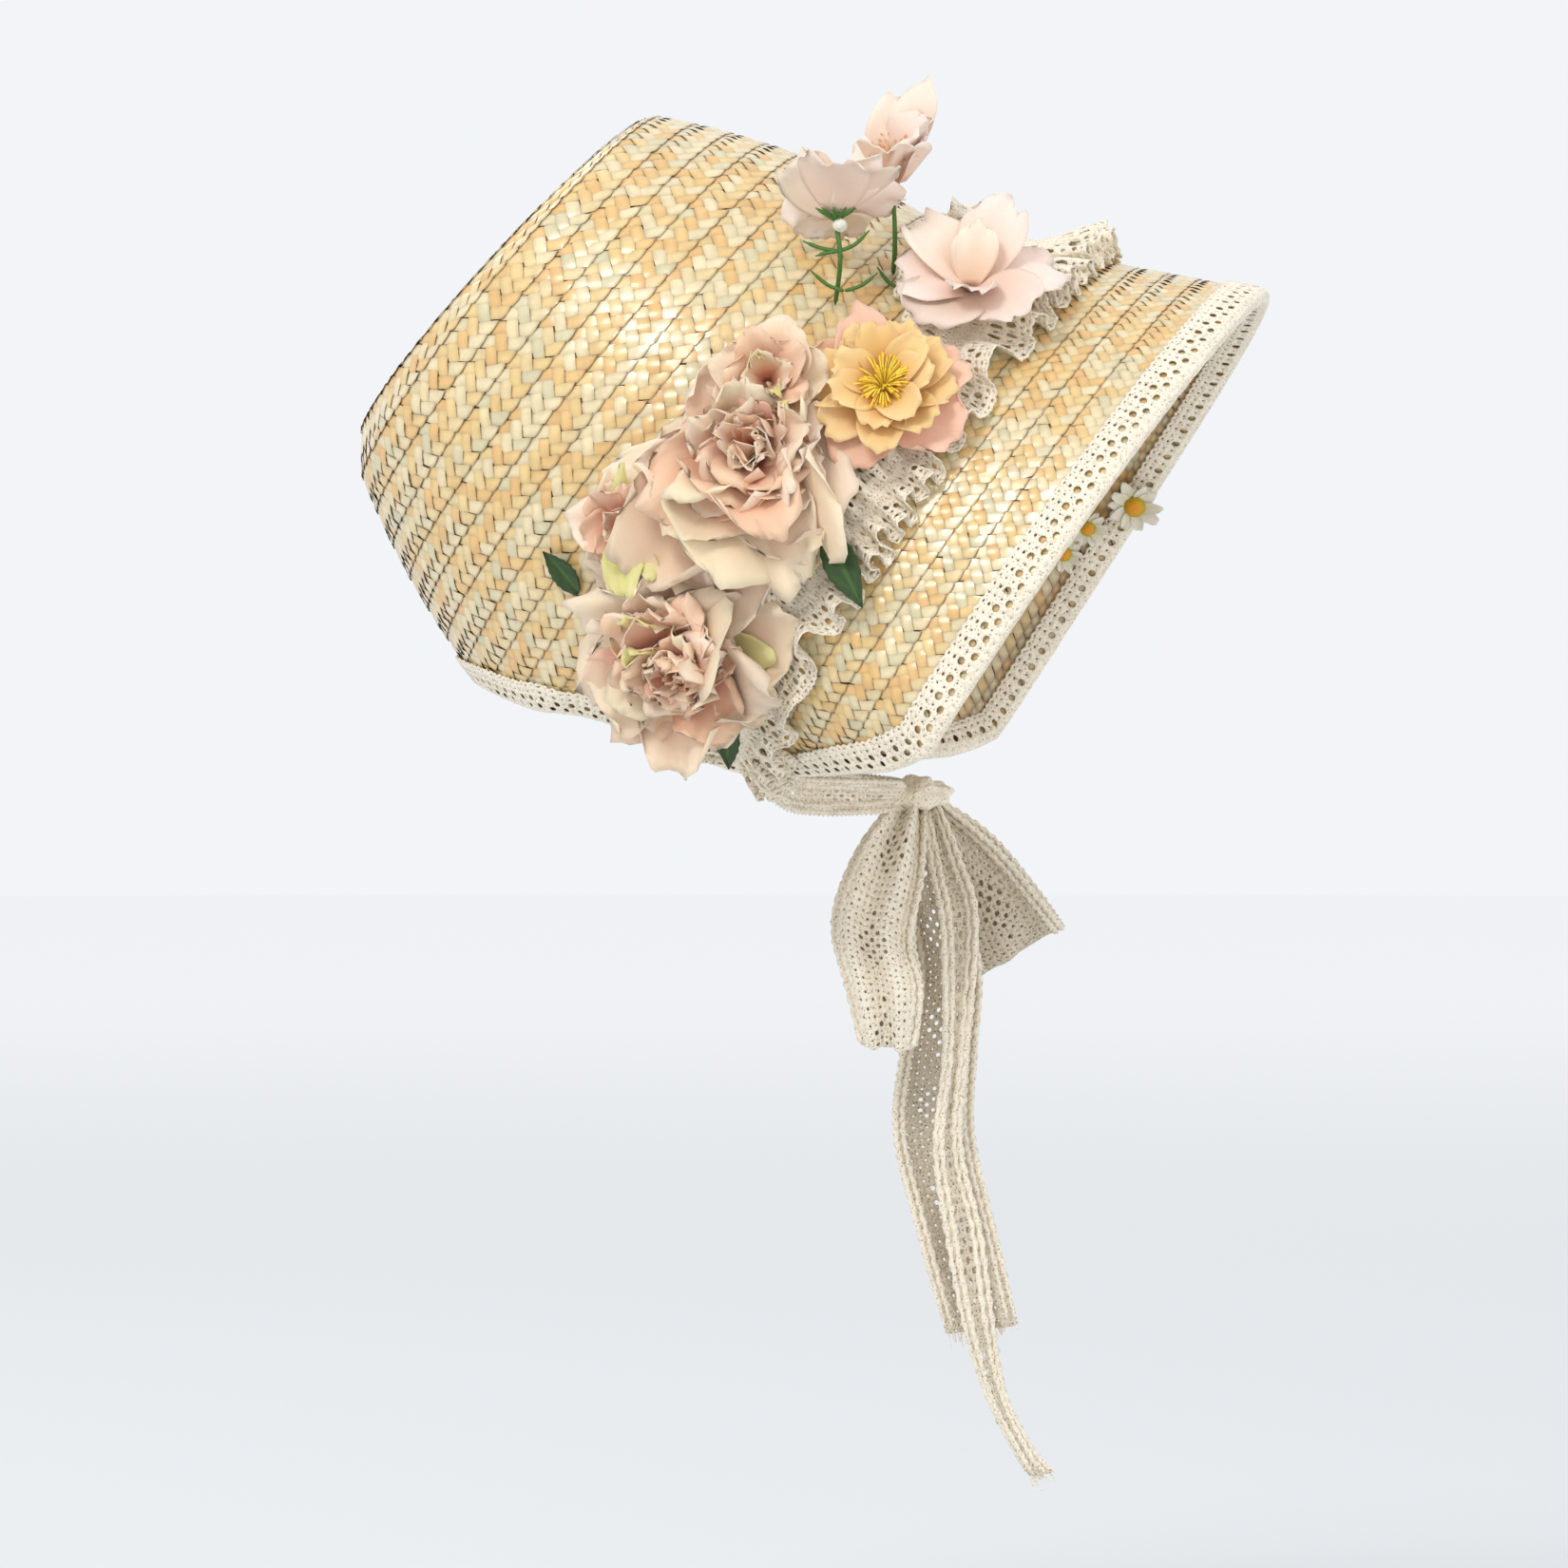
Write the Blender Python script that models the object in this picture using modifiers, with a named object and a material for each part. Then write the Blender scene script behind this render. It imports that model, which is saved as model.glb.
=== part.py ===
"""Flat-topped straw bonnet with a flower spray, a gathered lace ruffle and lace chin ties.

The bonnet faces -Y and stands as a head wears it. Its origin is the inner wall of the crown on the
mid-plane, where the top of the head sits. Every wall follows one surface, shell(row, angle, lift): the
row counts the braid from the crown tip (0) over the join with the brim (9) to the brim's edge (19), the
angle goes round from the top, negative on the wearer's right, and the lift is measured off the straw.
"""
import math
from functools import lru_cache

import bpy
from mathutils import Matrix, Vector

WALL = 0.002
PLAY = 0.0003
LACE = 0.0010

TILT = math.radians(39.3)
CROWN_ROWS = 9
BRIM_ROWS = 10
EDGE_ROW = CROWN_ROWS + BRIM_ROWS
CROWN_PITCH = 0.0131
CROWN_SQUASH = 0.94
TIP_RADIUS = 0.0905
CONE_SLOPE = 0.5385
CONE_EASE = 1.89
TIP_DOME = 0.005
RIM_RUN, RIM_RUN_LOW = 0.002, 0.009
RIM_DRAW, RIM_DRAW_LOW = 0.0015, 0.005
SEAT_RUN = 0.080

EDGE_RUN = 0.225
EDGE_RUN_SIDE = 0.0167
EDGE_RISE_TOP = 0.186
EDGE_RISE_SIDE = 0.150
EDGE_TUCK = 0.063
TUCK_FROM = math.radians(92)
TUCK_OVER = math.radians(44)

NAPE_LINE = [(0.158, -0.187), (0.146, -0.191), (0.122, -0.199), (0.102, -0.201), (0.069, -0.210),
             (0.047, -0.221), (0.033, -0.225), (0.010, -0.2235), (-0.025, -0.220), (-0.040, -0.2125),
             (-0.051, -0.200), (-0.058, -0.186)]
BRIM_RINGS = [9.0, 10.3, 11.6, 12.9, 14.1, 15.5, 16.5, 17.4, 18.2, 19.0]
LOW_RINGS = [0.2, 0.6, 1.2, 1.9]
COLUMNS = 32
JOIN_GAP = 0.0008

EDGING_OUT = 0.012
EDGING_IN = 0.010
EDGING_GAP = 0.0012
PLEATS = 26
POINTS_PER_PLEAT = 3
PLEAT_SWAY = 0.14
RUFFLE_FOOT, RUFFLE_FOOT_AT_ENDS = 0.0028, 0.0044
RUFFLE_RISE, RUFFLE_RISE_ON_TOP = 0.0038, 0.0028
KNOT = (0.0, -0.0205, -0.2350)
KNOT_RADIUS = 0.0095
KNOT_LENGTH = 0.021

STRAW = ((0.66, 0.44, 0.17, 1.0), 0.35)
COTTON = ((0.76, 0.68, 0.54, 1.0), 0.9)
PEONY_PINK = ((0.74, 0.47, 0.38, 1.0), 0.7)
APRICOT = ((0.88, 0.62, 0.30, 1.0), 0.7)
BLUSH = ((0.86, 0.66, 0.57, 1.0), 0.7)
LIME = ((0.62, 0.62, 0.22, 1.0), 0.7)
LEAF_GREEN = ((0.06, 0.13, 0.05, 1.0), 0.6)
STEM_GREEN = ((0.10, 0.22, 0.05, 1.0), 0.6)
DAISY_WHITE = ((0.87, 0.84, 0.74, 1.0), 0.7)


def blend(a, b, share):
    """Value between a and b."""
    return a + (b - a) * share


def smooth(share):
    """Ease from 0 to 1 with level ends."""
    share = max(0.0, min(1.0, share))
    return share * share * (3 - 2 * share)


def along(points, share):
    """Smooth curve through a list of number tuples, read at a share of its length from 0 to 1."""
    spans = len(points) - 1
    at = max(0.0, min(1.0, share)) * spans
    first = min(int(at), spans - 1)
    local = at - first
    before, start = points[max(first - 1, 0)], points[first]
    end, after = points[first + 1], points[min(first + 2, spans)]
    return tuple(0.5 * (2 * b + (c - a) * local + (2 * a - 5 * b + 4 * c - d) * local ** 2
                        + (3 * b - a - 3 * c + d) * local ** 3)
                 for a, b, c, d in zip(before, start, end, after))


def crown_radius(run):
    """Radius of the crown at a distance along its axis from the tip."""
    return TIP_RADIUS + CONE_SLOPE * run - CONE_EASE * run * run


SEAT_RISE = crown_radius(SEAT_RUN) - WALL
AXIS_Y = SEAT_RUN * math.cos(TILT) + SEAT_RISE * math.sin(TILT)
AXIS_Z = SEAT_RUN * math.sin(TILT) - SEAT_RISE * math.cos(TILT)


def placed(run, rise, side):
    """Point from the distance along the crown's axis, the rise above it and the sideways offset."""
    return Vector((side, AXIS_Y - run * math.cos(TILT) - rise * math.sin(TILT),
                   AXIS_Z - run * math.sin(TILT) + rise * math.cos(TILT)))


def crown_ring(row, angle):
    """Run, rise and side of a crown ring; the ring at row -1 is the leaning rim of the tip."""
    low = (1 - math.cos(angle)) / 2
    if row < 0:
        run = row * (RIM_RUN + RIM_RUN_LOW * low)
        radius = crown_radius(run) + row * (RIM_DRAW + RIM_DRAW_LOW * low)
    else:
        run = row * CROWN_PITCH
        radius = crown_radius(run)
    return run, radius * math.cos(angle), CROWN_SQUASH * radius * math.sin(angle)


def edge_ring(angle):
    """Run, rise and side of the brim's edge, widest at the temples and tucked in below them."""
    turn = abs(angle)
    beside = math.sin(min(turn, math.pi / 2)) ** 2
    reach = blend(EDGE_RISE_TOP, EDGE_RISE_SIDE, beside)
    reach -= EDGE_TUCK * smooth((turn - TUCK_FROM) / TUCK_OVER)
    run = EDGE_RUN + EDGE_RUN_SIDE * (1 - math.cos(turn))
    return run, reach * math.cos(turn), reach * math.sin(angle)


def straw(row, angle):
    """Point on the outer face of the straw."""
    if row <= CROWN_ROWS:
        return placed(*crown_ring(row, angle))
    share = (row - CROWN_ROWS) / BRIM_ROWS
    inner, outer = crown_ring(CROWN_ROWS, angle), edge_ring(angle)
    return placed(*(blend(a, b, share) for a, b in zip(inner, outer)))


def slopes(row, angle):
    """Change of the surface point with the row and with the angle."""
    step = 0.02
    by_row = (straw(row + step, angle) - straw(row - step, angle)) / (2 * step)
    by_angle = (straw(row, angle + step) - straw(row, angle - step)) / (2 * step)
    return by_row, by_angle


def outward(row, angle):
    """Unit vector straight out of the straw."""
    by_row, by_angle = slopes(max(row, 0.05), angle)
    return by_row.cross(by_angle).normalized()


def shell(row, angle, lift=0.0):
    """Point at a height above the outer face of the straw."""
    return straw(row, angle) + outward(row, angle) * lift


def nape_height(y):
    """Height of the bonnet's lower edge in the side view."""
    ends = NAPE_LINE
    if y >= ends[0][0]:
        return ends[0][1]
    if y <= ends[-1][0]:
        return -1.0
    for (y0, z0), (y1, z1) in zip(ends, ends[1:]):
        if y >= y1:
            return blend(z0, z1, (y0 - y) / (y0 - y1))
    return -1.0


@lru_cache(maxsize=None)
def last_angle(row):
    """Angle at which a row meets the lower edge, or a half turn where it closes below."""
    def above(angle):
        point = straw(row, angle)
        return point.z >= nape_height(point.y)
    degree = 60
    while degree < 180 and above(math.radians(degree)):
        degree += 1
    if degree >= 180:
        return math.pi
    low, high = math.radians(degree - 1), math.radians(degree)
    for _ in range(20):
        middle = (low + high) / 2
        low, high = (middle, high) if above(middle) else (low, middle)
    return low


def back_row():
    """Row whose lowest point lies on the nape line."""
    low, high = 0.0, float(CROWN_ROWS)
    for _ in range(24):
        middle = (low + high) / 2
        low, high = (middle, high) if last_angle(middle) >= math.pi else (low, middle)
    return low


def material(name, look):
    """Principled material with a colour and a roughness."""
    colour, roughness = look
    made = bpy.data.materials.new(name)
    made.use_nodes = True
    shader = made.node_tree.nodes["Principled BSDF"]
    shader.inputs["Base Color"].default_value = colour
    shader.inputs["Roughness"].default_value = roughness
    made.diffuse_color = colour
    return made


def collection(name):
    """New collection in the scene."""
    made = bpy.data.collections.new(name)
    bpy.context.scene.collection.children.link(made)
    return made


def take(name, home, look):
    """Name the object that an operator has just made, and give it its collection and material."""
    made = bpy.context.active_object
    made.name = name
    made.data.name = name
    for old in list(made.users_collection):
        old.objects.unlink(made)
    home.objects.link(made)
    made.data.materials.append(material(name, look))
    return made


def thicken(made, thickness, offset):
    """Give a sheet its thickness: offset 1 grows it along its normals, -1 against them."""
    solid = made.modifiers.new("Thickness", "SOLIDIFY")
    solid.thickness = thickness
    solid.offset = offset
    solid.use_even_offset = True
    return solid


def sheet(name, home, look, size, place, thickness, offset=0.0, weld=False):
    """Sheet from a grid whose vertices a function of (u, v), each from 0 to 1, puts in place."""
    across, down = size
    bpy.ops.mesh.primitive_grid_add(x_subdivisions=across, y_subdivisions=down, size=1.0)
    made = take(name, home, look)
    for vertex in made.data.vertices:
        vertex.co = place(vertex.co.x + 0.5, vertex.co.y + 0.5)
    if weld:
        join = made.modifiers.new("Weld", "WELD")
        join.merge_threshold = 0.00002
    if thickness:
        thicken(made, thickness, offset)
    made.data.shade_smooth()
    return made


def shell_sheet(name, home, look, rows):
    """Wall of straw over a list of rows, from the lower edge round the top to the lower edge."""
    def place(u, v):
        row = rows[round(v * (len(rows) - 1))]
        return straw(row, (2 * u - 1) * last_angle(row))
    return sheet(name, home, look, (COLUMNS, len(rows) - 1), place, WALL, 1.0, weld=True)


def crown_tip(home):
    """Flat end of the crown: a slightly domed disc inside the first row's rim."""
    rings = 3
    middle = (straw(-1, 0) + straw(-1, math.pi)) / 2
    out = placed(0, 0, 0) - placed(1, 0, 0)
    inset = 1 - (WALL * 0.8 + PLAY) / TIP_RADIUS

    def place(u, v):
        share = max(v, 0.0001)
        rim = straw(-1, (2 * u - 1) * math.pi)
        dome = TIP_DOME * (1 - share * share)
        return middle + (rim - middle) * share * inset + out * dome
    return sheet("crown_tip", home, STRAW, (COLUMNS, rings), place, WALL, 1.0, weld=True)


def crown_side(home):
    """Cone of nine braid rows, closed below as far as the nape."""
    low = back_row()
    rows = [-1.0, 0.0, 1.5, 3.0, 4.5, low] + [low + step for step in LOW_RINGS]
    return shell_sheet("crown_side", home, STRAW, rows + [CROWN_ROWS - JOIN_GAP / CROWN_PITCH])


def brim(home):
    """Brim of ten braid rows from the crown to the face."""
    return shell_sheet("brim", home, STRAW, BRIM_RINGS)


def boundary(front):
    """Stations (row, angle) along the edge from the right to the left, round the face or the nape."""
    low = back_row()
    if front:
        right = [(row, last_angle(row)) for row in BRIM_RINGS[5:-1]]
        half = COLUMNS // 2
        right += [(EDGE_ROW, last_angle(EDGE_ROW) * (1 - step / half)) for step in range(half)]
        middle = [(EDGE_ROW, 0.0)]
    else:
        rows = BRIM_RINGS[4::-1] + [low + step for step in reversed(LOW_RINGS)]
        right = [(row, last_angle(row)) for row in rows]
        middle = [(low, math.pi)]
    return [(row, -angle) for row, angle in right] + middle + list(reversed(right))


def edge_frame(stations, index):
    """Boundary point, its straight-out vector and the unit vector that leads into the straw."""
    row, angle = stations[index]
    here = straw(row, angle)
    before = straw(*stations[max(index - 1, 0)])
    after = straw(*stations[min(index + 1, len(stations) - 1)])
    out = outward(row, angle)
    inland = (after - before).cross(out).normalized()
    if inland.dot(straw(8, 0.35 * angle) - here) < 0:
        inland = -inland
    return here, out, inland


def inland_point(row, angle, inland, distance, lift):
    """Point above the straw at a distance in from its edge, found in short steps along the straw."""
    steps = 4
    for _ in range(steps):
        by_row, by_angle = slopes(row, angle)
        out = outward(row, angle)
        inland = (inland - out * inland.dot(out)).normalized()
        rr, ra, aa = by_row.dot(by_row), by_row.dot(by_angle), by_angle.dot(by_angle)
        ir, ia = inland.dot(by_row) * distance / steps, inland.dot(by_angle) * distance / steps
        scale = 1 / (rr * aa - ra * ra)
        row, angle = row + (ir * aa - ia * ra) * scale, angle + (ia * rr - ir * ra) * scale
    return shell(row, angle, lift)


def edging(name, home, front):
    """Lace folded over the straw's edge, with one leg outside and one inside."""
    stations = boundary(front)
    count = len(stations) - 1
    gap = EDGING_GAP
    profile = [(EDGING_OUT, 2.2 * gap), (EDGING_OUT * 0.4, 1.8 * gap), (-0.0012, gap), (-0.0028, -WALL / 2),
               (-0.0016, -WALL - 2.2 * gap), (EDGING_IN * 0.4, -WALL - 3.3 * gap),
               (EDGING_IN, -WALL - 3.3 * gap)]
    frames = [edge_frame(stations, index) for index in range(count + 1)]

    def place(u, v):
        index = round(u * count)
        row, angle = stations[index]
        here, out, inland = frames[index]
        distance, lift = profile[round(v * (len(profile) - 1))]
        if distance > 0:
            return inland_point(row, angle, inland, distance, lift)
        return here + inland * distance + out * lift
    return sheet(name, home, COTTON, (count, len(profile) - 1), place, LACE, -1.0 if front else 1.0)


def ruffle_rows(angle):
    """Rows between which the ruffle lies at an angle; flowers cover its rear part at the sides."""
    turn = math.degrees(abs(angle))
    rear = along([(8.9,), (9.0,), (9.4,), (12.3,), (12.4,), (12.5,), (12.7,), (13.2,)], turn / 140)[0]
    front = along([(14.2,), (14.5,), (14.7,), (14.9,), (15.3,), (15.4,), (15.9,), (15.6,)], turn / 140)[0]
    return rear, front


def ruffle(home):
    """Gathered lace band over the join: low on its gathering line, waved at both edges."""
    end = last_angle(14.3) - math.radians(3)

    def place(u, v):
        angle = (2 * u - 1) * end
        rear, front = ruffle_rows(angle)
        spread = 2 * v - 1
        wave = math.sin(2 * math.pi * PLEATS * u)
        on_top = 1 - smooth(abs(angle) / math.radians(60))
        near_end = smooth((abs(angle) - end + 0.45) / 0.2)
        foot = blend(RUFFLE_FOOT, RUFFLE_FOOT_AT_ENDS, near_end)
        rise = abs(spread) * (RUFFLE_RISE + RUFFLE_RISE_ON_TOP * on_top) * (1.25 + wave)
        return shell(blend(rear, front, v) + PLEAT_SWAY * spread * wave, angle, foot + rise)
    return sheet("ruffle", home, COTTON, (PLEATS * POINTS_PER_PLEAT, 4), place, LACE, -1.0)


def seat(row, angle, lift=PLAY, lean=None):
    """Frame on the straw with Z straight out of it and Y towards the face; lean tips Z."""
    out = outward(row, angle)
    axis = (out + Vector(lean)).normalized() if lean else out
    front = slopes(row, angle)[0]
    y_axis = (front - axis * front.dot(axis)).normalized()
    x_axis = y_axis.cross(axis)
    turn = Matrix((x_axis, y_axis, axis)).transposed().to_4x4()
    return Matrix.Translation(shell(row, angle, lift)) @ turn


def rosette(name, home, look, frame, profile, reach=None, columns=32):
    """Flower as one closed body of scalloped rings, from the middle of its foot over its rim to its heart.

    A ring is (radius, height, lobes, depth, turn): its radius falls by the share depth between lobes, and
    turn, in degrees, places the first lobe. reach gives (direction, share) pairs: towards a direction, in
    degrees, the ring's radius is cut to the share.
    """
    def place(u, v):
        radius, height, lobes, depth, turn = profile[round(v * (len(profile) - 1))]
        around = 2 * math.pi * u
        notch = abs(math.sin(lobes / 2 * (around - math.radians(turn)))) ** 3
        size = radius * (1 - depth * notch)
        for direction, share in reach or []:
            facing = max(0.0, math.cos(around - math.radians(direction)))
            size *= 1 - (1 - share) * smooth(1.6 * facing - 0.4)
        return frame @ Vector((size * math.cos(around), size * math.sin(around), height))
    return sheet(name, home, look, (columns, len(profile) - 1), place, None, weld=True)


def peony(name, home, frame, radius, reach):
    """Full flower with three tiers of petals round a closed heart."""
    profile = [(0.0, 0.0, 8, 0, 0), (0.009, 0.0, 8, 0, 0), (0.28 * radius, 0.010, 8, 0.05, 0),
               (0.60 * radius, 0.0185, 8, 0.12, 0), (radius, 0.0245, 8, 0.14, 0),
               (0.92 * radius, 0.028, 8, 0.16, 0), (0.64 * radius, 0.026, 8, 0.1, 0),
               (0.70 * radius, 0.034, 7, 0.16, 20), (0.60 * radius, 0.036, 7, 0.16, 20),
               (0.40 * radius, 0.030, 7, 0.1, 20), (0.40 * radius, 0.041, 5, 0.2, 5),
               (0.28 * radius, 0.044, 5, 0.2, 5), (0.12 * radius, 0.038, 5, 0.1, 5), (0.0, 0.039, 5, 0, 0)]
    return rosette(name, home, PEONY_PINK, frame, profile, reach)


def open_flower(name, home, look, frame, radius, cup, lobes, depth, heart, stalk=0.0, foot=0.004,
                thick=0.0014, columns=40):
    """Single ring of petals round a heart: cup is how far the petals' tips rise over their roots."""
    def ring(size, height, cut):
        return size, height + stalk, lobes, cut, 0
    top = 0.1 * cup + 1.5 * thick
    profile = [(0.0, 0.0, lobes, 0, 0), (foot, 0.0, lobes, 0, 0), ring(0.9 * foot, 0.0, 0),
               ring(0.55 * radius, 0.45 * cup, 0.5 * depth), ring(radius, cup, depth),
               ring(0.97 * radius, cup + thick, depth),
               ring(0.55 * radius, 0.45 * cup + 1.3 * thick, 0.5 * depth),
               ring(heart, top, 0), ring(0.8 * heart, top + 0.6 * heart, 0), ring(0.0, top + 0.8 * heart, 0)]
    if not stalk:
        del profile[2]
    return rosette(name, home, look, frame, profile, columns=columns)


def tube(name, home, look, points, radius):
    """Stem along a smooth route."""
    curve = bpy.data.curves.new(name, "CURVE")
    curve.dimensions = "3D"
    curve.bevel_depth = radius
    curve.bevel_resolution = 1
    curve.use_fill_caps = True
    spline = curve.splines.new("POLY")
    count = 3 * (len(points) - 1)
    spline.points.add(count)
    for index in range(count + 1):
        spline.points[index].co = (*along(points, index / count), 1)
    made = bpy.data.objects.new(name, curve)
    home.objects.link(made)
    curve.materials.append(material(name, look))
    return made


def leaf(name, home, row, angle, heading, length, width, lift=0.0006):
    """Dark leaf lying along the straw from its root towards a heading in degrees from the face."""
    angle = math.radians(angle)
    by_row, by_angle = slopes(row, angle)
    ahead = math.cos(math.radians(heading)) * length / by_row.length
    round_the_side = math.sin(math.radians(heading)) * length / by_angle.length
    across_row = -math.sin(math.radians(heading)) * width / 2 / by_row.length
    across_angle = math.cos(math.radians(heading)) * width / 2 / by_angle.length

    def place(u, v):
        side = 2 * u - 1
        half = 0.15 + 0.85 * math.sin(math.pi * (0.08 + 0.84 * v))
        return shell(row + v * ahead + side * half * across_row,
                     angle + v * round_the_side + side * half * across_angle,
                     lift + 0.003 * v * v + 0.0008 * abs(side))
    return sheet(name, home, LEAF_GREEN, (2, 4), place, 0.0009, 1.0)


def ribbon(name, home, route, stations, thickness=0.0012):
    """Lace band along a route of (x, y, z, width, lean): lean in degrees turns its width out of YZ."""
    def place(u, v):
        x, y, z, width, lean = along(route, v)
        ahead = Vector(along(route, min(v + 0.01, 1))[:3]) - Vector(along(route, max(v - 0.01, 0))[:3])
        flat = Vector((0, -ahead.z, ahead.y))
        flat = flat.normalized() if flat.length > 1e-6 else Vector((0, 1, 0))
        turn = math.radians(lean)
        flat = flat * math.cos(turn) + Vector((1, 0, 0)) * math.sin(turn)
        return Vector((x, y, z)) + flat * width * (u - 0.5)
    return sheet(name, home, COTTON, (3, stations), place, thickness)


def standing(point, axis, front=(0, -1, 0)):
    """Frame at a point with Z along an axis and Y near a front direction."""
    up = Vector(axis).normalized()
    ahead = Vector(front)
    ahead = (ahead - up * ahead.dot(up)).normalized()
    turn = Matrix((ahead.cross(up), ahead, up)).transposed().to_4x4()
    return Matrix.Translation(Vector(point)) @ turn


def spray(home):
    """Flowers, buds and leaves on the wearer's right side."""
    upper = seat(9.8, math.radians(-83), lift=0.0007)
    peony("peony_upper", home, upper, 0.052, [(160, 0.62), (19, 0.76)])
    lower = seat(11.35, math.radians(-111), lift=0.0007)
    peony("peony_lower", home, lower, 0.044, [(199, 0.80), (84, 0.92)])
    face = seat(11.2, math.radians(-62), lift=0.0006, lean=(-0.3, 0.0, 0.0))
    open_flower("dahlia", home, APRICOT, face, 0.028, 0.008, 10, 0.35, 0.007, stalk=0.0145, foot=0.004,
                thick=0.0022, columns=30)
    bud = seat(7.7, math.radians(-60))
    open_flower("rose_bud", home, PEONY_PINK, bud, 0.014, 0.014, 5, 0.2, 0.004, foot=0.004, columns=20)
    cluster = seat(7.2, math.radians(-107), lift=0.0006)
    open_flower("petal_cluster", home, LIME, cluster, 0.017, 0.010, 5, 0.3, 0.005, foot=0.005, columns=20)


def cosmos(home):
    """Three blush flowers on green stems that stand over the crown."""
    bloom_1 = standing((-0.078, -0.0192, -0.0003), (-0.1, -0.1, 1.0))
    open_flower("cosmos_1", home, BLUSH, bloom_1, 0.019, 0.030, 6, 0.35, 0.003, foot=0.002, columns=24)
    bloom_2 = standing((-0.104, 0.0006, -0.0135), (-0.25, -0.05, 1.0))
    open_flower("cosmos_2", home, BLUSH, bloom_2, 0.025, 0.012, 7, 0.35, 0.003, foot=0.002, columns=28)
    bloom_3 = seat(11.0, math.radians(-39), lift=0.0092, lean=(-0.5, 0.0, 0.2))
    open_flower("cosmos_3", home, BLUSH, bloom_3, 0.026, 0.006, 6, 0.35, 0.004, foot=0.002, columns=24)
    root_1, root_2 = shell(8.9, math.radians(-36), 0.0008), shell(8.3, math.radians(-50), 0.0008)
    tube("stem_1", home, STEM_GREEN, [tuple(root_1), (-0.080, -0.0200, -0.022), (-0.078, -0.0190, -0.0008)],
         0.0011)
    tube("stem_2", home, STEM_GREEN, [tuple(root_2), (-0.103, -0.0015, -0.030), (-0.1040, 0.0004, -0.0140)],
         0.0011)


def leaves(home):
    """Three dark leaves at the rim of the flowers, the front two resting on the ruffle."""
    leaf("leaf_back", home, 7.9, -119.5, 168, 0.020, 0.010, 0.0016)
    leaf("leaf_front", home, 13.0, -88, -20, 0.030, 0.011, 0.0092)
    leaf("leaf_low", home, 12.9, -111, -25, 0.022, 0.010, 0.0110)


def daisies(home):
    """Small daisies inside the brim by the wearer's left temple."""
    for number, (row, angle) in enumerate([(18.7, 56.0), (18.2, 63.0), (18.0, 68.6)], start=1):
        angle = math.radians(angle)
        point = shell(row, angle, -WALL - 3.3 * EDGING_GAP - LACE - 0.0006)
        frame = standing(point, -outward(row, angle), (0, -1, 0.3))
        size = 0.0095 if number == 1 else 0.0065
        open_flower(f"daisy_{number}", home, DAISY_WHITE, frame, size, 0.4 * size, 8, 0.3, 0.34 * size,
                    stalk=0.002, foot=0.0025, thick=0.001, columns=16)


def under_knot(x, y, width, lower=0.0002):
    """Start of a band gathered against the knot's underside; a slanted band starts a little lower."""
    beside = max(0.0, abs(y - KNOT[1]) - width / 2)
    drop = math.sqrt(KNOT_RADIUS ** 2 - beside ** 2)
    return x, y, KNOT[2] - drop - PLAY - lower, width, 0


def bow_knot(home):
    """Knot of the chin ties: a barrel lying across the mid-plane."""
    half = KNOT_LENGTH / 2
    frame = standing((KNOT[0] - half, KNOT[1], KNOT[2]), (1, 0, 0))
    ends = [(0.0, 0.0), (0.6, 0.0), (1.0, 0.2), (1.0, 0.8), (0.6, 1.0), (0.0, 1.0)]
    profile = [(radius * KNOT_RADIUS, height * KNOT_LENGTH, 4, 0, 0) for radius, height in ends]
    rosette("bow_knot", home, COTTON, frame, profile, columns=16)


def chin_ties(home):
    """Lace bands from the bonnet's lower corners to the knot under the chin."""
    chin = shell(14.5, last_angle(14.5) - math.radians(2), -WALL - 0.0040)
    end = KNOT_LENGTH / 2 + PLAY + 0.0004
    for name, side in (("tie_right", -1), ("tie_left", 1)):
        ribbon(name, home, [(side * abs(chin.x), chin.y, chin.z, 0.016, 0),
                            (side * 0.050, 0.024, -0.2350, 0.013, 10 * side),
                            (side * 0.030, 0.004, -0.2385, 0.012, 15 * side),
                            (side * end, -0.0165, -0.2355, 0.009, 0)], 8, 0.0016)


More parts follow.
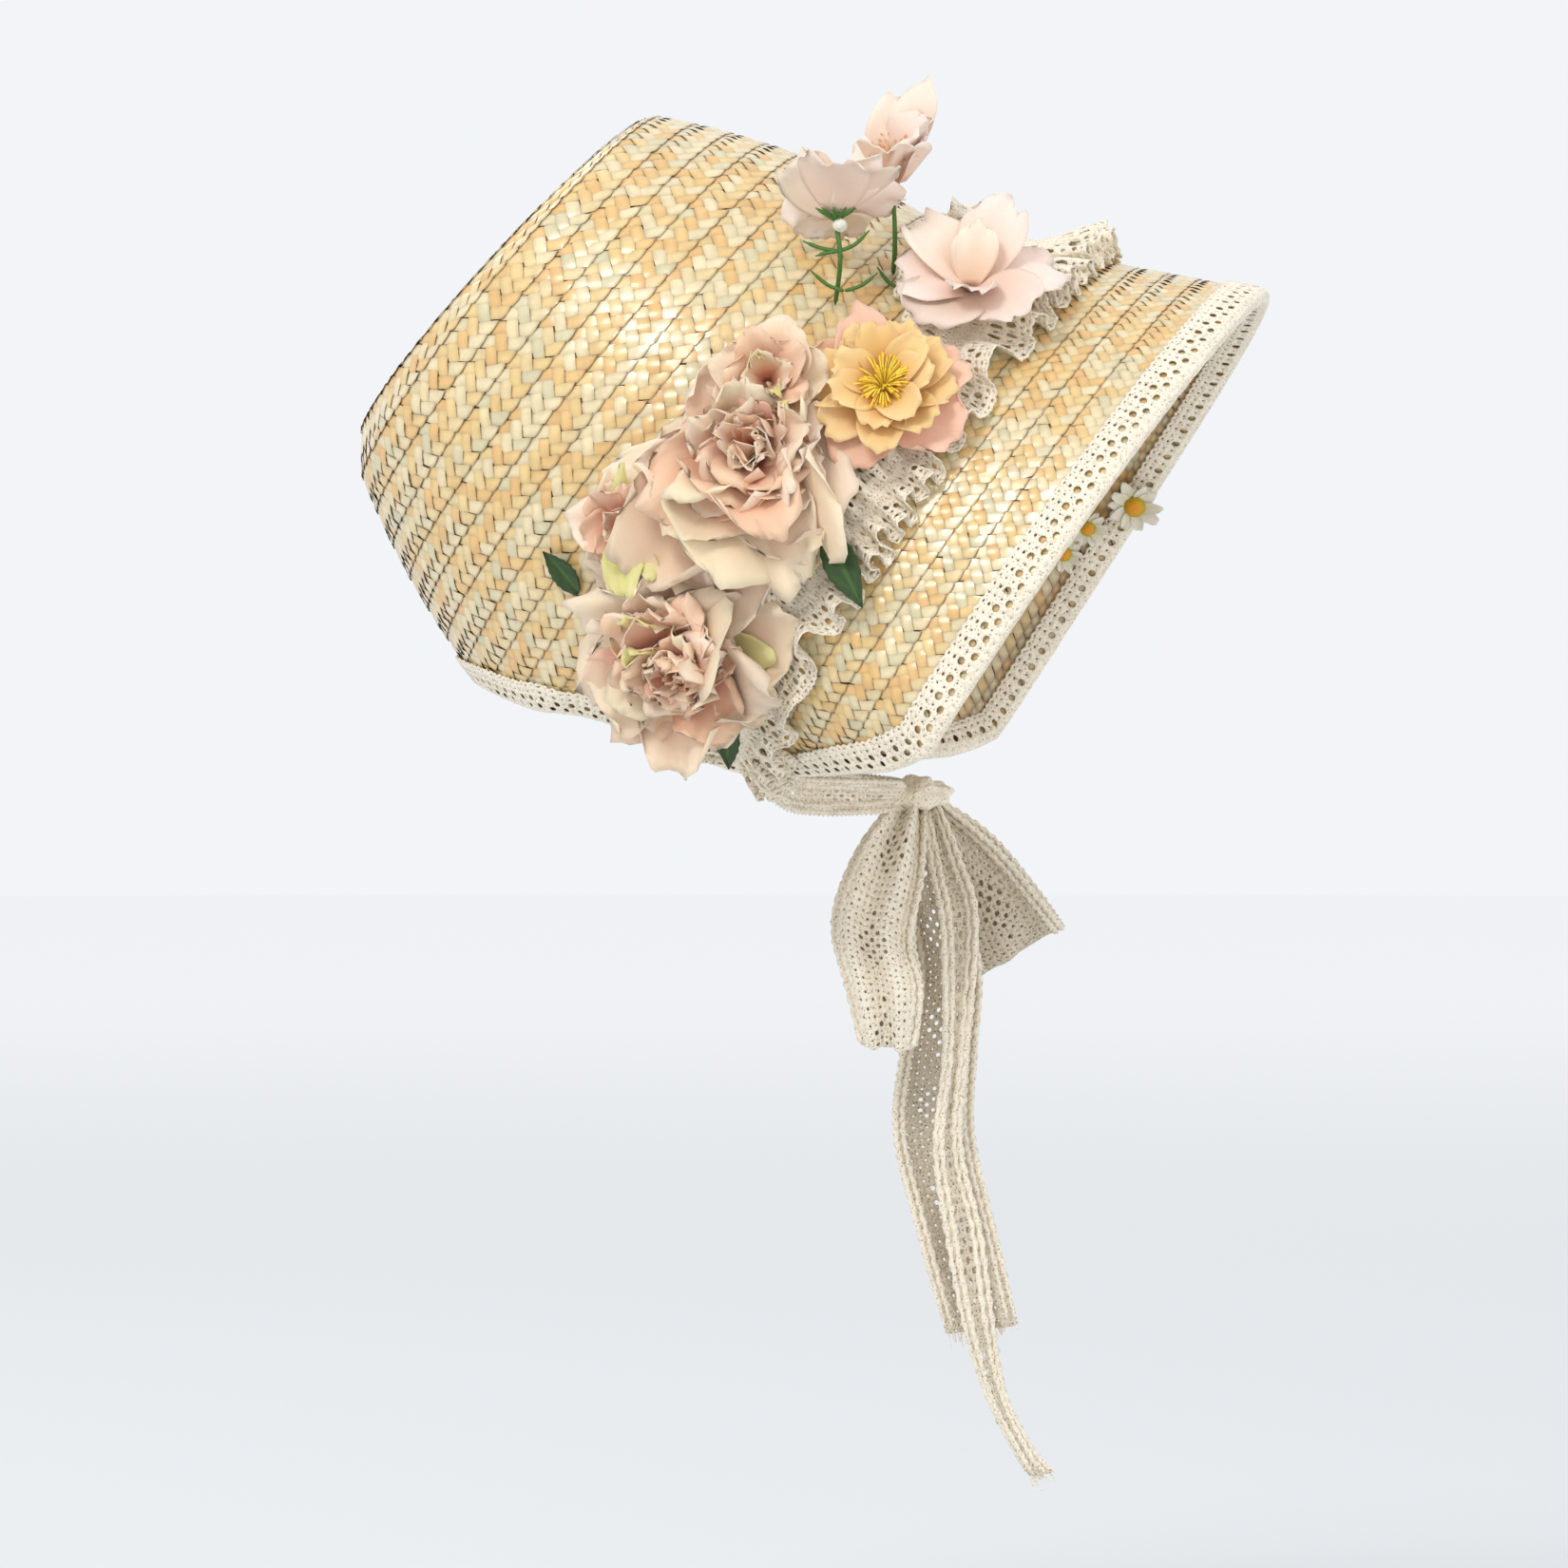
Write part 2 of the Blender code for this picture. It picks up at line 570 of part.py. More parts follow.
def bow(home):
    """Two loops and two tails that hang from the knot."""
    ribbon("bow_loop_near", home, [
        under_knot(-0.0062, -0.0190, 0.010, 0.0006), (-0.022, -0.012, -0.262, 0.022, 0),
        (-0.034, -0.006, -0.290, 0.032, 0), (-0.038, -0.0070, -0.318, 0.027, 0),
        (-0.032, -0.0085, -0.333, 0.019, 0), (-0.026, -0.0070, -0.318, 0.026, 0),
        (-0.024, -0.006, -0.290, 0.030, 0), (-0.014, -0.012, -0.262, 0.020, 0),
        under_knot(-0.0038, -0.0190, 0.009, 0.0006)], 20, 0.0012)
    ribbon("bow_loop_far", home, [
        under_knot(0.0062, -0.0240, 0.007, 0.0012), (0.020, -0.040, -0.2580, 0.024, 0),
        (0.028, -0.0555, -0.2830, 0.035, 0), (0.024, -0.0605, -0.2920, 0.037, 0),
        (0.018, -0.0555, -0.2830, 0.034, 0), (0.014, -0.040, -0.2590, 0.022, 0),
        under_knot(0.0038, -0.0240, 0.007, 0.0012)], 18, 0.0012)
    ribbon("bow_tail_flat", home, [
        under_knot(0.0011, -0.0205, 0.010), (0.0010, -0.0215, -0.278, 0.026, 0),
        (0.0000, -0.0260, -0.335, 0.029, 0), (-0.001, -0.0270, -0.366, 0.029, 0),
        (-0.002, -0.0360, -0.402, 0.028, 0), (-0.002, -0.0465, -0.4425, 0.027, 0)], 14, 0.0014)
    ribbon("bow_tail_folded", home, [
        under_knot(-0.0020, -0.0260, 0.006), (-0.0080, -0.0330, -0.262, 0.011, 0),
        (-0.0110, -0.0385, -0.285, 0.013, 0), (-0.0110, -0.0370, -0.333, 0.008, 0),
        (-0.0110, -0.0340, -0.370, 0.009, 0), (-0.0110, -0.0400, -0.404, 0.012, 0),
        (-0.0110, -0.0460, -0.440, 0.010, 0), (-0.0100, -0.0530, -0.468, 0.006, 0),
        (-0.0090, -0.0640, -0.490, 0.006, 0), (-0.0080, -0.0700, -0.498, 0.009, 0)], 20, 0.0024)


def main():
    """Build every piece of the bonnet."""
    for old in list(bpy.data.objects):
        bpy.data.objects.remove(old, do_unlink=True)
    home = collection("straw_bonnet")
    crown_tip(home)
    crown_side(home)
    brim(home)
    edging("brim_edging", home, True)
    edging("nape_edging", home, False)
    ruffle(home)
    spray(home)
    cosmos(home)
    leaves(home)
    daisies(home)
    bow_knot(home)
    chin_ties(home)
    bow(home)


main()
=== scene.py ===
"""Flat-topped straw bonnet: sewn straw braid, crochet lace trim, silk flowers and a lace bow.

Every piece is laid on one surface, StrawSurface, which is read by a row of braid (0 at the crown's tip, 9 at
its join with the brim, 19 at the brim's edge), an angle round the crown (0 on top, negative on the side with
the flowers) and a height above the straw.
"""

import logging
import math
from dataclasses import dataclass, field
from enum import Enum
from typing import Optional, Sequence

import bmesh
import bpy
import numpy as np
from mathutils import Matrix, Vector
from mathutils.kdtree import KDTree


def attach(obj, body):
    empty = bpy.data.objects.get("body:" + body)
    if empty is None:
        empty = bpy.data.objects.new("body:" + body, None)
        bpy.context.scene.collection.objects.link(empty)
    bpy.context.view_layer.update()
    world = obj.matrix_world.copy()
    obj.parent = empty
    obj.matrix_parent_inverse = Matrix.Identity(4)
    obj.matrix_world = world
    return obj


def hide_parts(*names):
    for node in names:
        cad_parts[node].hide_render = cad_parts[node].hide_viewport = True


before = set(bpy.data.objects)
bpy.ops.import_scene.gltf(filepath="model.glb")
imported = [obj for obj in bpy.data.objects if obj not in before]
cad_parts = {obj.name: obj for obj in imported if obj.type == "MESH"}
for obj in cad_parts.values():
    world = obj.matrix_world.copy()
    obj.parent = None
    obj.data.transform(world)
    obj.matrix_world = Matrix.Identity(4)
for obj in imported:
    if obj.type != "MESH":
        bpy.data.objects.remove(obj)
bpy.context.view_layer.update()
LOG = logging.getLogger("bonnet")
MM = 0.001
HOLE_RADIUS = 0.3
LINING_GAP = 0.9 * MM
SEAM_WELD = 0.00001
LACE_WELD = 0.00004
HOLE_LIMIT = 0.42

Array = np.ndarray
Colour = tuple[float, float, float]


def srgb(red: float, green: float, blue: float) -> Colour:
    """Linear colour of a display colour with channels from 0 to 1."""
    return tuple(c / 12.92 if c <= 0.04045 else ((c + 0.055) / 1.055) ** 2.4 for c in (red, green, blue))


def smooth(share: Array) -> Array:
    """Ease from 0 to 1 with level ends."""
    share = np.clip(share, 0.0, 1.0)
    return share * share * (3 - 2 * share)


def blend(a: Array, b: Array, share: Array) -> Array:
    """Value between a and b."""
    return a + (b - a) * share


def mixed(a: Sequence[float], b: Sequence[float], share: Array) -> Array:
    """Colours between two colours, one for each share."""
    return np.asarray(a) + (np.asarray(b) - np.asarray(a)) * np.asarray(share)[..., None]


def along(points: Array, share: Array) -> Array:
    """Smooth curve through a table of points.

    Args:
        points: One row of numbers for each point of the curve.
        share: Where to read the curve, from 0 to 1.

    Returns:
        One row of numbers for each share.
    """
    points = np.asarray(points, float)
    spans = len(points) - 1
    at = np.clip(share, 0.0, 1.0) * spans
    first = np.minimum(at.astype(int), spans - 1)
    local = (at - first)[..., None]
    a, b = points[np.maximum(first - 1, 0)], points[first]
    c, d = points[first + 1], points[np.minimum(first + 2, spans)]
    return 0.5 * (2 * b + (c - a) * local + (2 * a - 5 * b + 4 * c - d) * local ** 2
                  + (3 * b - a - 3 * c + d) * local ** 3)


def wrapped(angle: Array) -> Array:
    """Angle brought into one turn about the bonnet's top."""
    return (np.asarray(angle) + math.pi) % (2 * math.pi) - math.pi


def unit(vectors: Array) -> Array:
    """Vectors scaled to length 1."""
    return vectors / np.maximum(np.linalg.norm(vectors, axis=-1, keepdims=True), 1e-9)


# Shader graphs


class Wire:
    """Output of a shader node that can be used in Python expressions."""

    def __init__(self, graph: "ShaderGraph", socket: bpy.types.NodeSocket) -> None:
        """Hold the socket and the graph it belongs to."""
        self.graph = graph
        self.socket = socket

    def _math(self, operation: str, first: object, second: object) -> "Wire":
        """Math node on two values."""
        return self.graph.add("ShaderNodeMath", {"operation": operation}, {0: first, 1: second})

    def __add__(self, other: object) -> "Wire":
        """Sum."""
        return self._math("ADD", self, other)

    def __mul__(self, other: object) -> "Wire":
        """Product."""
        return self._math("MULTIPLY", self, other)

    def __sub__(self, other: object) -> "Wire":
        """Difference."""
        return self._math("SUBTRACT", self, other)

    def __rsub__(self, other: object) -> "Wire":
        """Difference from a number."""
        return self._math("SUBTRACT", other, self)

    __radd__ = __add__
    __rmul__ = __mul__


class ShaderGraph:
    """Material whose surface is one Principled shader."""

    def __init__(self, name: str) -> None:
        """Make the material with its shader."""
        self.material = bpy.data.materials.new(name)
        self.material.use_nodes = True
        self.tree = self.material.node_tree
        self.shader = self.tree.nodes["Principled BSDF"]

    def add(self, kind: str, settings: Optional[dict] = None, inputs: Optional[dict] = None,
            output: object = 0) -> Wire:
        """Add a node.

        Args:
            kind: Type of the node.
            settings: Values of its own properties; stops gives a ramp's positions and colours.
            inputs: A value or a Wire for each of its sockets, by name or number.
            output: Name or number of the output to return.

        Returns:
            The output.
        """
        node = self.tree.nodes.new(kind)
        for key, value in (settings or {}).items():
            if key == "stops":
                ramp = node.color_ramp.elements
                while len(ramp) < len(value):
                    ramp.new(0.5)
                for stop, (position, colour) in zip(ramp, value):
                    stop.position, stop.color = position, (*colour, 1.0)
            else:
                setattr(node, key, value)
        for key, value in (inputs or {}).items():
            self.set(node.inputs[key], value)
        return Wire(self, node.outputs[output])

    def set(self, socket: bpy.types.NodeSocket, value: object) -> None:
        """Link a Wire to a socket, or set the socket's own value."""
        if isinstance(value, Wire):
            self.tree.links.new(value.socket, socket)
        elif socket.type == "RGBA":
            socket.default_value = (*value, 1.0)
        else:
            socket.default_value = value

    def dress(self, **inputs: object) -> bpy.types.Material:
        """Set the shader's sockets, named with _ for a space, and return the material."""
        for key, value in inputs.items():
            self.set(self.shader.inputs[key.replace("_", " ")], value)
        return self.material

    def tint(self) -> Wire:
        """Colour painted on the piece's points."""
        return self.add("ShaderNodeAttribute", {"attribute_name": "tint"}, output="Color")

    def coordinates(self, scale: Sequence[float], source: str = "Object") -> Wire:
        """Coordinates stretched by a scale."""
        place = self.add("ShaderNodeTexCoord", output=source)
        return self.add("ShaderNodeMapping", {}, {"Vector": place, "Scale": scale})

    def noise(self, vector: Wire, scale: float, detail: float = 2.0) -> Wire:
        """Noise value from 0 to 1."""
        return self.add("ShaderNodeTexNoise", {}, {"Vector": vector, "Scale": scale, "Detail": detail})

    def tone(self, colour: object, value: Wire, dark: float, light: float) -> Wire:
        """Colour made darker or lighter by a value from 0 to 1."""
        grey = self.add("ShaderNodeMapRange", {}, {"Value": value, "From Min": 0.25, "From Max": 0.75,
                                                   "To Min": dark, "To Max": light})
        return self.add("ShaderNodeVectorMath", {"operation": "SCALE"}, {0: colour, "Scale": grey})

    def bump(self, height: Wire, distance: float, strength: float = 1.0) -> Wire:
        """Normal bent by a height."""
        return self.add("ShaderNodeBump", {}, {"Height": height, "Distance": distance, "Strength": strength})


class Finish:
    """Base of every finish: a name and a material made once."""

    name: str

    def material(self) -> bpy.types.Material:
        """Material of this finish, made when it is first asked for."""
        return bpy.data.materials.get(self.name) or self.make()

    def make(self) -> bpy.types.Material:
        """Build the material."""
        raise NotImplementedError


@dataclass(frozen=True)
class StrawFinish(Finish):
    """Split wheat straw: satin, streaked along each blade."""

    name: str = "wheat_straw"
    pale: Colour = srgb(0.92, 0.85, 0.68)
    sage: Colour = srgb(0.85, 0.81, 0.65)
    gold: Colour = srgb(0.91, 0.79, 0.54)
    amber: Colour = srgb(0.90, 0.73, 0.47)
    # Painted shade: the brown that blades are darkened towards at their sides, at their tucked ends, on the
    # hem and just below the lapping row.
    shade: Colour = srgb(0.42, 0.27, 0.11)
    roughness: float = 0.36

    def make(self) -> bpy.types.Material:
        """Build the material from the blades' painted tints and fine streaks along them."""
        graph = ShaderGraph(self.name)
        shifted = graph.add("ShaderNodeVectorMath", {"operation": "ADD"},
                            {0: graph.coordinates((22.0, 0.7, 1.0), "UV"),
                             1: graph.coordinates((90, 90, 90))})
        streak = graph.noise(shifted, 1.6, 3.0)
        cloud = graph.noise(graph.coordinates((1, 1, 1)), 260.0, 2.0)
        colour = graph.tone(graph.tone(graph.tint(), streak, 0.88, 1.08), cloud, 0.93, 1.05)
        return graph.dress(Base_Color=colour, Roughness=streak * 0.24 + (self.roughness - 0.12),
                           Normal=graph.bump(streak, 0.00018), Specular_IOR_Level=0.6,
                           Coat_Weight=0.6, Coat_Roughness=0.16)


@dataclass(frozen=True)
class PlainStrawFinish(Finish):
    """Straw under the blades, seen only in the gaps between them."""

    name: str = "straw_ground"
    colour: Colour = srgb(0.66, 0.52, 0.30)

    def make(self) -> bpy.types.Material:
        """Build the material from a fine grain."""
        graph = ShaderGraph(self.name)
        place = graph.coordinates((1, 1, 1))
        grain = graph.noise(place, 420.0, 4.0)
        return graph.dress(Base_Color=graph.tone(self.colour, grain, 0.7, 1.15), Roughness=0.6,
                           Normal=graph.bump(grain, 0.0005))


@dataclass(frozen=True)
class LaceFinish(Finish):
    """Crochet cotton: matt, with the loops of its yarn."""

    name: str = "crochet_cotton"
    colour: Colour = srgb(0.98, 0.94, 0.86)
    # Painted shade: the second colour darkens the yarn between the loops, and the third fills the small hole
    # in each loop's middle.
    depth: Colour = srgb(0.90, 0.84, 0.73)
    hole_shade: Colour = srgb(0.77, 0.69, 0.57)
    stitch: float = 640.0

    def make(self) -> bpy.types.Material:
        """Build the material from small cells for the yarn's loops, with painted shade between the loops and
        in the small hole at each loop's middle, and noise for its twist.
        """
        graph = ShaderGraph(self.name)
        place = graph.coordinates((1, 1, 1))
        loops = graph.add("ShaderNodeTexVoronoi", {}, {"Vector": place, "Scale": self.stitch}, "Distance")
        twist = graph.noise(place, 2600.0, 3.0)
        stain = graph.noise(place, 60.0, 3.0)
        stops = [(0.16, self.hole_shade), (0.32, self.colour), (0.55, self.colour), (0.95, self.depth)]
        ramp = graph.add("ShaderNodeValToRGB", {"stops": stops}, {"Fac": loops})
        return graph.dress(Base_Color=graph.tone(ramp, stain, 0.93, 1.04), Roughness=0.92,
                           Normal=graph.bump(loops * 0.8 + twist * 0.3, 0.00050),
                           Sheen_Weight=0.25, Sheen_Roughness=0.6)


@dataclass(frozen=True)
class PetalFinish(Finish):
    """Printed silk petals with faint veins and a fine weave."""

    name: str = "silk_petal"
    vein: float = 9.0

    def make(self) -> bpy.types.Material:
        """Build the material from the petals' painted tints, veins along them and a fine weave."""
        graph = ShaderGraph(self.name)
        veins = graph.noise(graph.coordinates((self.vein, 0.7, 1.0), "UV"), 2.6, 2.0)
        weave = graph.noise(graph.coordinates((1, 1, 1)), 2400.0, 2.0)
        colour = graph.tone(graph.tint(), veins, 0.94, 1.05)
        return graph.dress(Base_Color=colour, Roughness=0.78, Sheen_Weight=0.2, Sheen_Roughness=0.5,
                           Normal=graph.bump(veins * 0.6 + weave * 0.5, 0.0004),
                           Subsurface_Weight=0.12, Subsurface_Radius=(0.004, 0.002, 0.001))


@dataclass(frozen=True)
class MouldedFinish(Finish):
    """Moulded green stems, sepals and yellow flower hearts."""

    name: str = "moulded_stem"

    def make(self) -> bpy.types.Material:
        """Build the material from painted tints and a soft grain."""
        graph = ShaderGraph(self.name)
        grain = graph.noise(graph.coordinates((1, 1, 1)), 900.0, 3.0)
        return graph.dress(Base_Color=graph.tone(graph.tint(), grain, 0.85, 1.12), Roughness=0.55,
                           Normal=graph.bump(grain, 0.0003))


@dataclass(frozen=True)
class StageFinish(Finish):
    """Pale floor, with painted shade near the bonnet and painted light further out."""

    name: str = "pale_paper"
    # Painted shade round the bonnet (near) blends over the reach into painted light far out (far).
    near: Colour = (0.74, 0.75, 0.76)
    far: Colour = (0.97, 0.97, 0.97)
    reach: tuple[float, float] = (0.8, 6.5)

    def make(self) -> bpy.types.Material:
        """Build the material, with painted shade that darkens it near the bonnet and painted light that
        makes it paler away from the lights, so that it meets the sky without a line.
        """
        graph = ShaderGraph(self.name)
        distance = graph.add("ShaderNodeVectorMath", {"operation": "LENGTH"},
                             {0: graph.coordinates((1, 1, 1))}, "Value")
        share = graph.add("ShaderNodeMapRange", {"interpolation_type": "SMOOTHSTEP"},
                          {"Value": distance, "From Min": self.reach[0], "From Max": self.reach[1]})
        ramp = graph.add("ShaderNodeValToRGB", {"stops": [(0.0, self.near), (1.0, self.far)]},
                         {"Fac": share})
        return graph.dress(Base_Color=ramp, Roughness=0.95, Specular_IOR_Level=0.0)


class Slot(Enum):
    """The record's material slots."""

    STRAW = "straw"
    LACE = "lace"
    PEONY = "peony_petal"
    LIME = "lime_petal"
    APRICOT = "apricot_petal"
    BLUSH = "blush_petal"
    STEM = "stem"
    LEAF = "leaf"
    DAISY = "daisy_petal"


# Meshes


def distances(line: Array) -> Array:
    """Distance of each point from the line's start, along the line."""
    return np.concatenate(([0.0], np.cumsum(np.linalg.norm(np.diff(line, axis=0), axis=1))))


def grid_tile(across: int, down: int) -> bpy.types.Mesh:
    """Flat tile with UVs, made of across by down faces."""
    tile = bmesh.new()
    bmesh.ops.create_grid(tile, x_segments=across, y_segments=down, size=0.5, calc_uvs=True)
    return finished(tile, "tile")


def pierced_tile() -> bpy.types.Mesh:
    """Square tile with a round hole: a circle whose edges are extruded out to the square's sides."""
    tile = bmesh.new()
    tile.loops.layers.uv.new("UVMap")
    bmesh.ops.create_circle(tile, segments=8, radius=HOLE_RADIUS)
    grown = bmesh.ops.extrude_edge_only(tile, edges=tile.edges[:])["geom"]
    for vertex in (v for v in grown if isinstance(v, bmesh.types.BMVert)):
        reach = 0.5 / max(abs(vertex.co.x), abs(vertex.co.y))
        vertex.co *= reach
    bmesh.ops.recalc_face_normals(tile, faces=tile.faces[:])
    if tile.faces[0].normal.z < 0:
        bmesh.ops.reverse_faces(tile, faces=tile.faces[:])
    layer = tile.loops.layers.uv.active
    for face in tile.faces:
        for loop in face.loops:
            loop[layer].uv = (loop.vert.co.x + 0.5, loop.vert.co.y + 0.5)
    return finished(tile, "pierced_tile")


def finished(shape: bmesh.types.BMesh, name: str) -> bpy.types.Mesh:
    """Mesh from a bmesh, which is freed."""
    mesh = bpy.data.meshes.new(name)
    shape.to_mesh(mesh)
    shape.free()
    return mesh


def points_of(mesh: bpy.types.Mesh) -> Array:
    """Points of a mesh, one row each."""
    values = np.empty(len(mesh.vertices) * 3, np.float32)
    mesh.vertices.foreach_get("co", values)
    return values.reshape(-1, 3).astype(float)


def repeated(tile: bpy.types.Mesh, count: int, name: str) -> bpy.types.Mesh:
    """Mesh that holds a tile count times, one copy after the other."""
    shape = bmesh.new()
    for _ in range(count):
        shape.from_mesh(tile)
    return finished(shape, name)


def laid_out(name: str, tile: bpy.types.Mesh, points: Array, tints: Optional[Array] = None,
             weld: float = 0.0) -> bpy.types.Mesh:
    """Copies of a tile whose points and tints are given.

    Args:
        name: Name of the mesh.
        tile: The tile that is repeated.
        points: Copies by points by 3 coordinates.
        tints: Copies by points by 3 channels of colour, or nothing.
        weld: Distance under which points are joined, or 0.

    Returns:
        The mesh.
    """
    mesh = repeated(tile, len(points), name)
    mesh.vertices.foreach_set("co", points.reshape(-1).astype(np.float32))
    if tints is not None:
        layer = mesh.color_attributes.new("tint", "FLOAT_COLOR", "POINT")
        values = np.ones((len(mesh.vertices), 4), np.float32)
        values[:, :3] = np.broadcast_to(tints, points.shape).reshape(-1, 3)
        layer.data.foreach_set("color", values.reshape(-1))
    if weld:
        shape = bmesh.new()
        shape.from_mesh(mesh)
        bmesh.ops.remove_doubles(shape, verts=shape.verts[:], dist=weld)
        shape.to_mesh(mesh)
        shape.free()
    mesh.shade_smooth()
    return mesh


def linked(name: str, data: bpy.types.ID) -> bpy.types.Object:
    """New object in the scene."""
    made = bpy.data.objects.new(name, data)
    bpy.context.scene.collection.objects.link(made)
    return made


def piece(name: str, mesh: bpy.types.Mesh, finish: Finish, slot: Slot, nodes: Sequence[str] = (),
          thickness: float = 0.0) -> bpy.types.Object:
    """Add a piece that rides on the bonnet.

    Args:
        name: Name of the piece.
        mesh: Its mesh, in place.
        finish: Its finish.
        slot: The record's slot that the finish belongs to.
        nodes: CAD nodes that it replaces.
        thickness: Wall given to a sheet, or 0 for none.

    Returns:
        The object.
    """
    made = linked(name, mesh)
    mesh.name = name
    mesh.materials.append(finish.material())
    if thickness:
        wall = made.modifiers.new("Wall", "SOLIDIFY")
        wall.thickness, wall.offset = thickness, 0.0
    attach(made, "root")
    if nodes:
        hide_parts(*nodes)
    return made


# The bonnet's surface


@dataclass
class StrawSurface:
    """Outer face of the straw."""

    tilt: float = math.radians(39.3)
    crown_rows: float = 9.0
    brim_rows: float = 10.0
    crown_pitch: float = 0.0131
    squash: float = 0.94
    tip_radius: float = 0.0905
    cone_slope: float = 0.5385
    cone_ease: float = 1.89
    tip_dome: float = 0.005
    rim_run: tuple[float, float] = (0.002, 0.009)
    rim_draw: tuple[float, float] = (0.0015, 0.005)
    seat_run: float = 0.080
    wall: float = 0.002
    edge_run: float = 0.225
    edge_run_side: float = 0.0167
    edge_rise_top: float = 0.186
    edge_rise_side: float = 0.150
    edge_tuck: float = 0.063
    nape: tuple = ((0.158, -0.187), (0.146, -0.191), (0.122, -0.199), (0.102, -0.201), (0.069, -0.210),
                   (0.047, -0.221), (0.033, -0.225), (0.010, -0.2235), (-0.025, -0.220), (-0.040, -0.2125),
                   (-0.051, -0.200), (-0.058, -0.186))

    def __post_init__(self) -> None:
        """Place the crown's axis and tabulate where each row meets the lower edge."""
        rise = self.crown_radius(self.seat_run) - self.wall
        self.axis_y = self.seat_run * math.cos(self.tilt) + rise * math.sin(self.tilt)
        self.axis_z = self.seat_run * math.sin(self.tilt) - rise * math.cos(self.tilt)
        self.rows = np.linspace(0.0, 19.0, 191)
        turns = np.radians(np.linspace(60, 180, 481))
        row, angle = np.meshgrid(self.rows, turns, indexing="ij")
        point = self.point(row, angle)
        ys, zs = np.array(self.nape)[::-1].T
        floor = np.where(point[..., 1] <= ys[0], -1.0, np.interp(point[..., 1], ys, zs))
        below = point[..., 2] < floor
        self.limits = np.where(below.any(axis=1), turns[np.maximum(below.argmax(axis=1) - 1, 0)], math.pi)
        self.back = float(self.rows[self.limits >= math.pi].max())

    def crown_radius(self, run: Array) -> Array:
        """Radius of the crown at a distance along its axis."""
        return self.tip_radius + self.cone_slope * run - self.cone_ease * run * run

    def placed(self, run: Array, rise: Array, side: Array) -> Array:
        """Points from the distance along the crown's axis, the rise above it and the sideways offset."""
        cos, sin = math.cos(self.tilt), math.sin(self.tilt)
        return np.stack((side, self.axis_y - run * cos - rise * sin,
                         self.axis_z - run * sin + rise * cos), -1)

    def point(self, row: Array, angle: Array) -> Array:
        """Points on the straw's outer face."""
        angle = wrapped(angle)
        low = (1 - np.cos(angle)) / 2
        lean, ring = np.minimum(row, 0.0), np.minimum(row, self.crown_rows)
        run = np.where(row < 0, lean * (self.rim_run[0] + self.rim_run[1] * low), ring * self.crown_pitch)
        radius = self.crown_radius(run) + lean * (self.rim_draw[0] + self.rim_draw[1] * low)
        inner = np.stack((run, radius * np.cos(angle), self.squash * radius * np.sin(angle)))
        turn = np.abs(angle)
        beside = np.sin(np.minimum(turn, math.pi / 2)) ** 2
        reach = blend(self.edge_rise_top, self.edge_rise_side, beside)
        reach = reach - self.edge_tuck * smooth((turn - math.radians(92)) / math.radians(44))
        edge = np.stack((self.edge_run + self.edge_run_side * (1 - np.cos(turn)), reach * np.cos(turn),
                         reach * np.sin(angle)))
        share = np.maximum(row - self.crown_rows, 0.0) / self.brim_rows
        return self.placed(*(inner + (edge - inner) * share))

    def slopes(self, row: Array, angle: Array) -> tuple[Array, Array]:
        """Change of the surface point with the row and with the angle."""
        step = 0.02
        return ((self.point(row + step, angle) - self.point(row - step, angle)) / (2 * step),
                (self.point(row, angle + step) - self.point(row, angle - step)) / (2 * step))

    def out(self, row: Array, angle: Array) -> Array:
        """Unit vectors straight out of the straw."""
        return unit(np.cross(*self.slopes(np.maximum(row, 0.05), angle)))

    def shell(self, row: Array, angle: Array, lift: Array) -> Array:
        """Points at a height above the straw."""
        return self.point(row, angle) + self.out(row, angle) * np.asarray(lift)[..., None]

    def limit(self, row: Array) -> Array:
        """Angle at which a row meets the lower edge, or a half turn."""
        return np.interp(row, self.rows, self.limits)

    def cleared(self, points: Array, gap: float) -> Array:
        """Points pushed out of the straw until they stand at least a gap above it."""
        rows, angles = (grid.ravel() for grid in np.meshgrid(
            np.linspace(0.5, 19, 75), np.radians(np.arange(-170, 20, 2.0)), indexing="ij"))
        kept = np.abs(angles) < self.limit(rows)
        places, ways = self.point(rows[kept], angles[kept]), self.out(rows[kept], angles[kept])
        tree = KDTree(len(places))
        for number, place in enumerate(places):
            tree.insert(place, number)
        tree.balance()
        moved = points.reshape(-1, 3).copy()
        nearest = np.array([tree.find(point)[1] for point in moved])
        height = ((moved - places[nearest]) * ways[nearest]).sum(-1)
        moved += ways[nearest] * np.maximum(gap - height, 0)[:, None]
        return moved.reshape(points.shape)

    def seat(self, row: float, angle: float, lift: float = 0.0, lean: Sequence[float] = (0, 0, 0)) -> Matrix:
        """Frame on the straw with Z out of it and Y towards the face.

        Args:
            row: Row of the frame.
            angle: Its angle in degrees.
            lift: Its height above the straw.
            lean: Vector added to Z, which tips it.

        Returns:
            The frame.
        """
        row, angle = np.array(float(row)), np.array(math.radians(angle))
        axis = (Vector(self.out(row, angle)) + Vector(lean)).normalized()
        front = Vector(self.slopes(row, angle)[0])
        ahead = (front - axis * front.dot(axis)).normalized()
        turn = Matrix((ahead.cross(axis), ahead, axis)).transposed().to_4x4()
        return Matrix.Translation(Vector(self.shell(row, angle, np.array(lift)))) @ turn


SURFACE = StrawSurface()


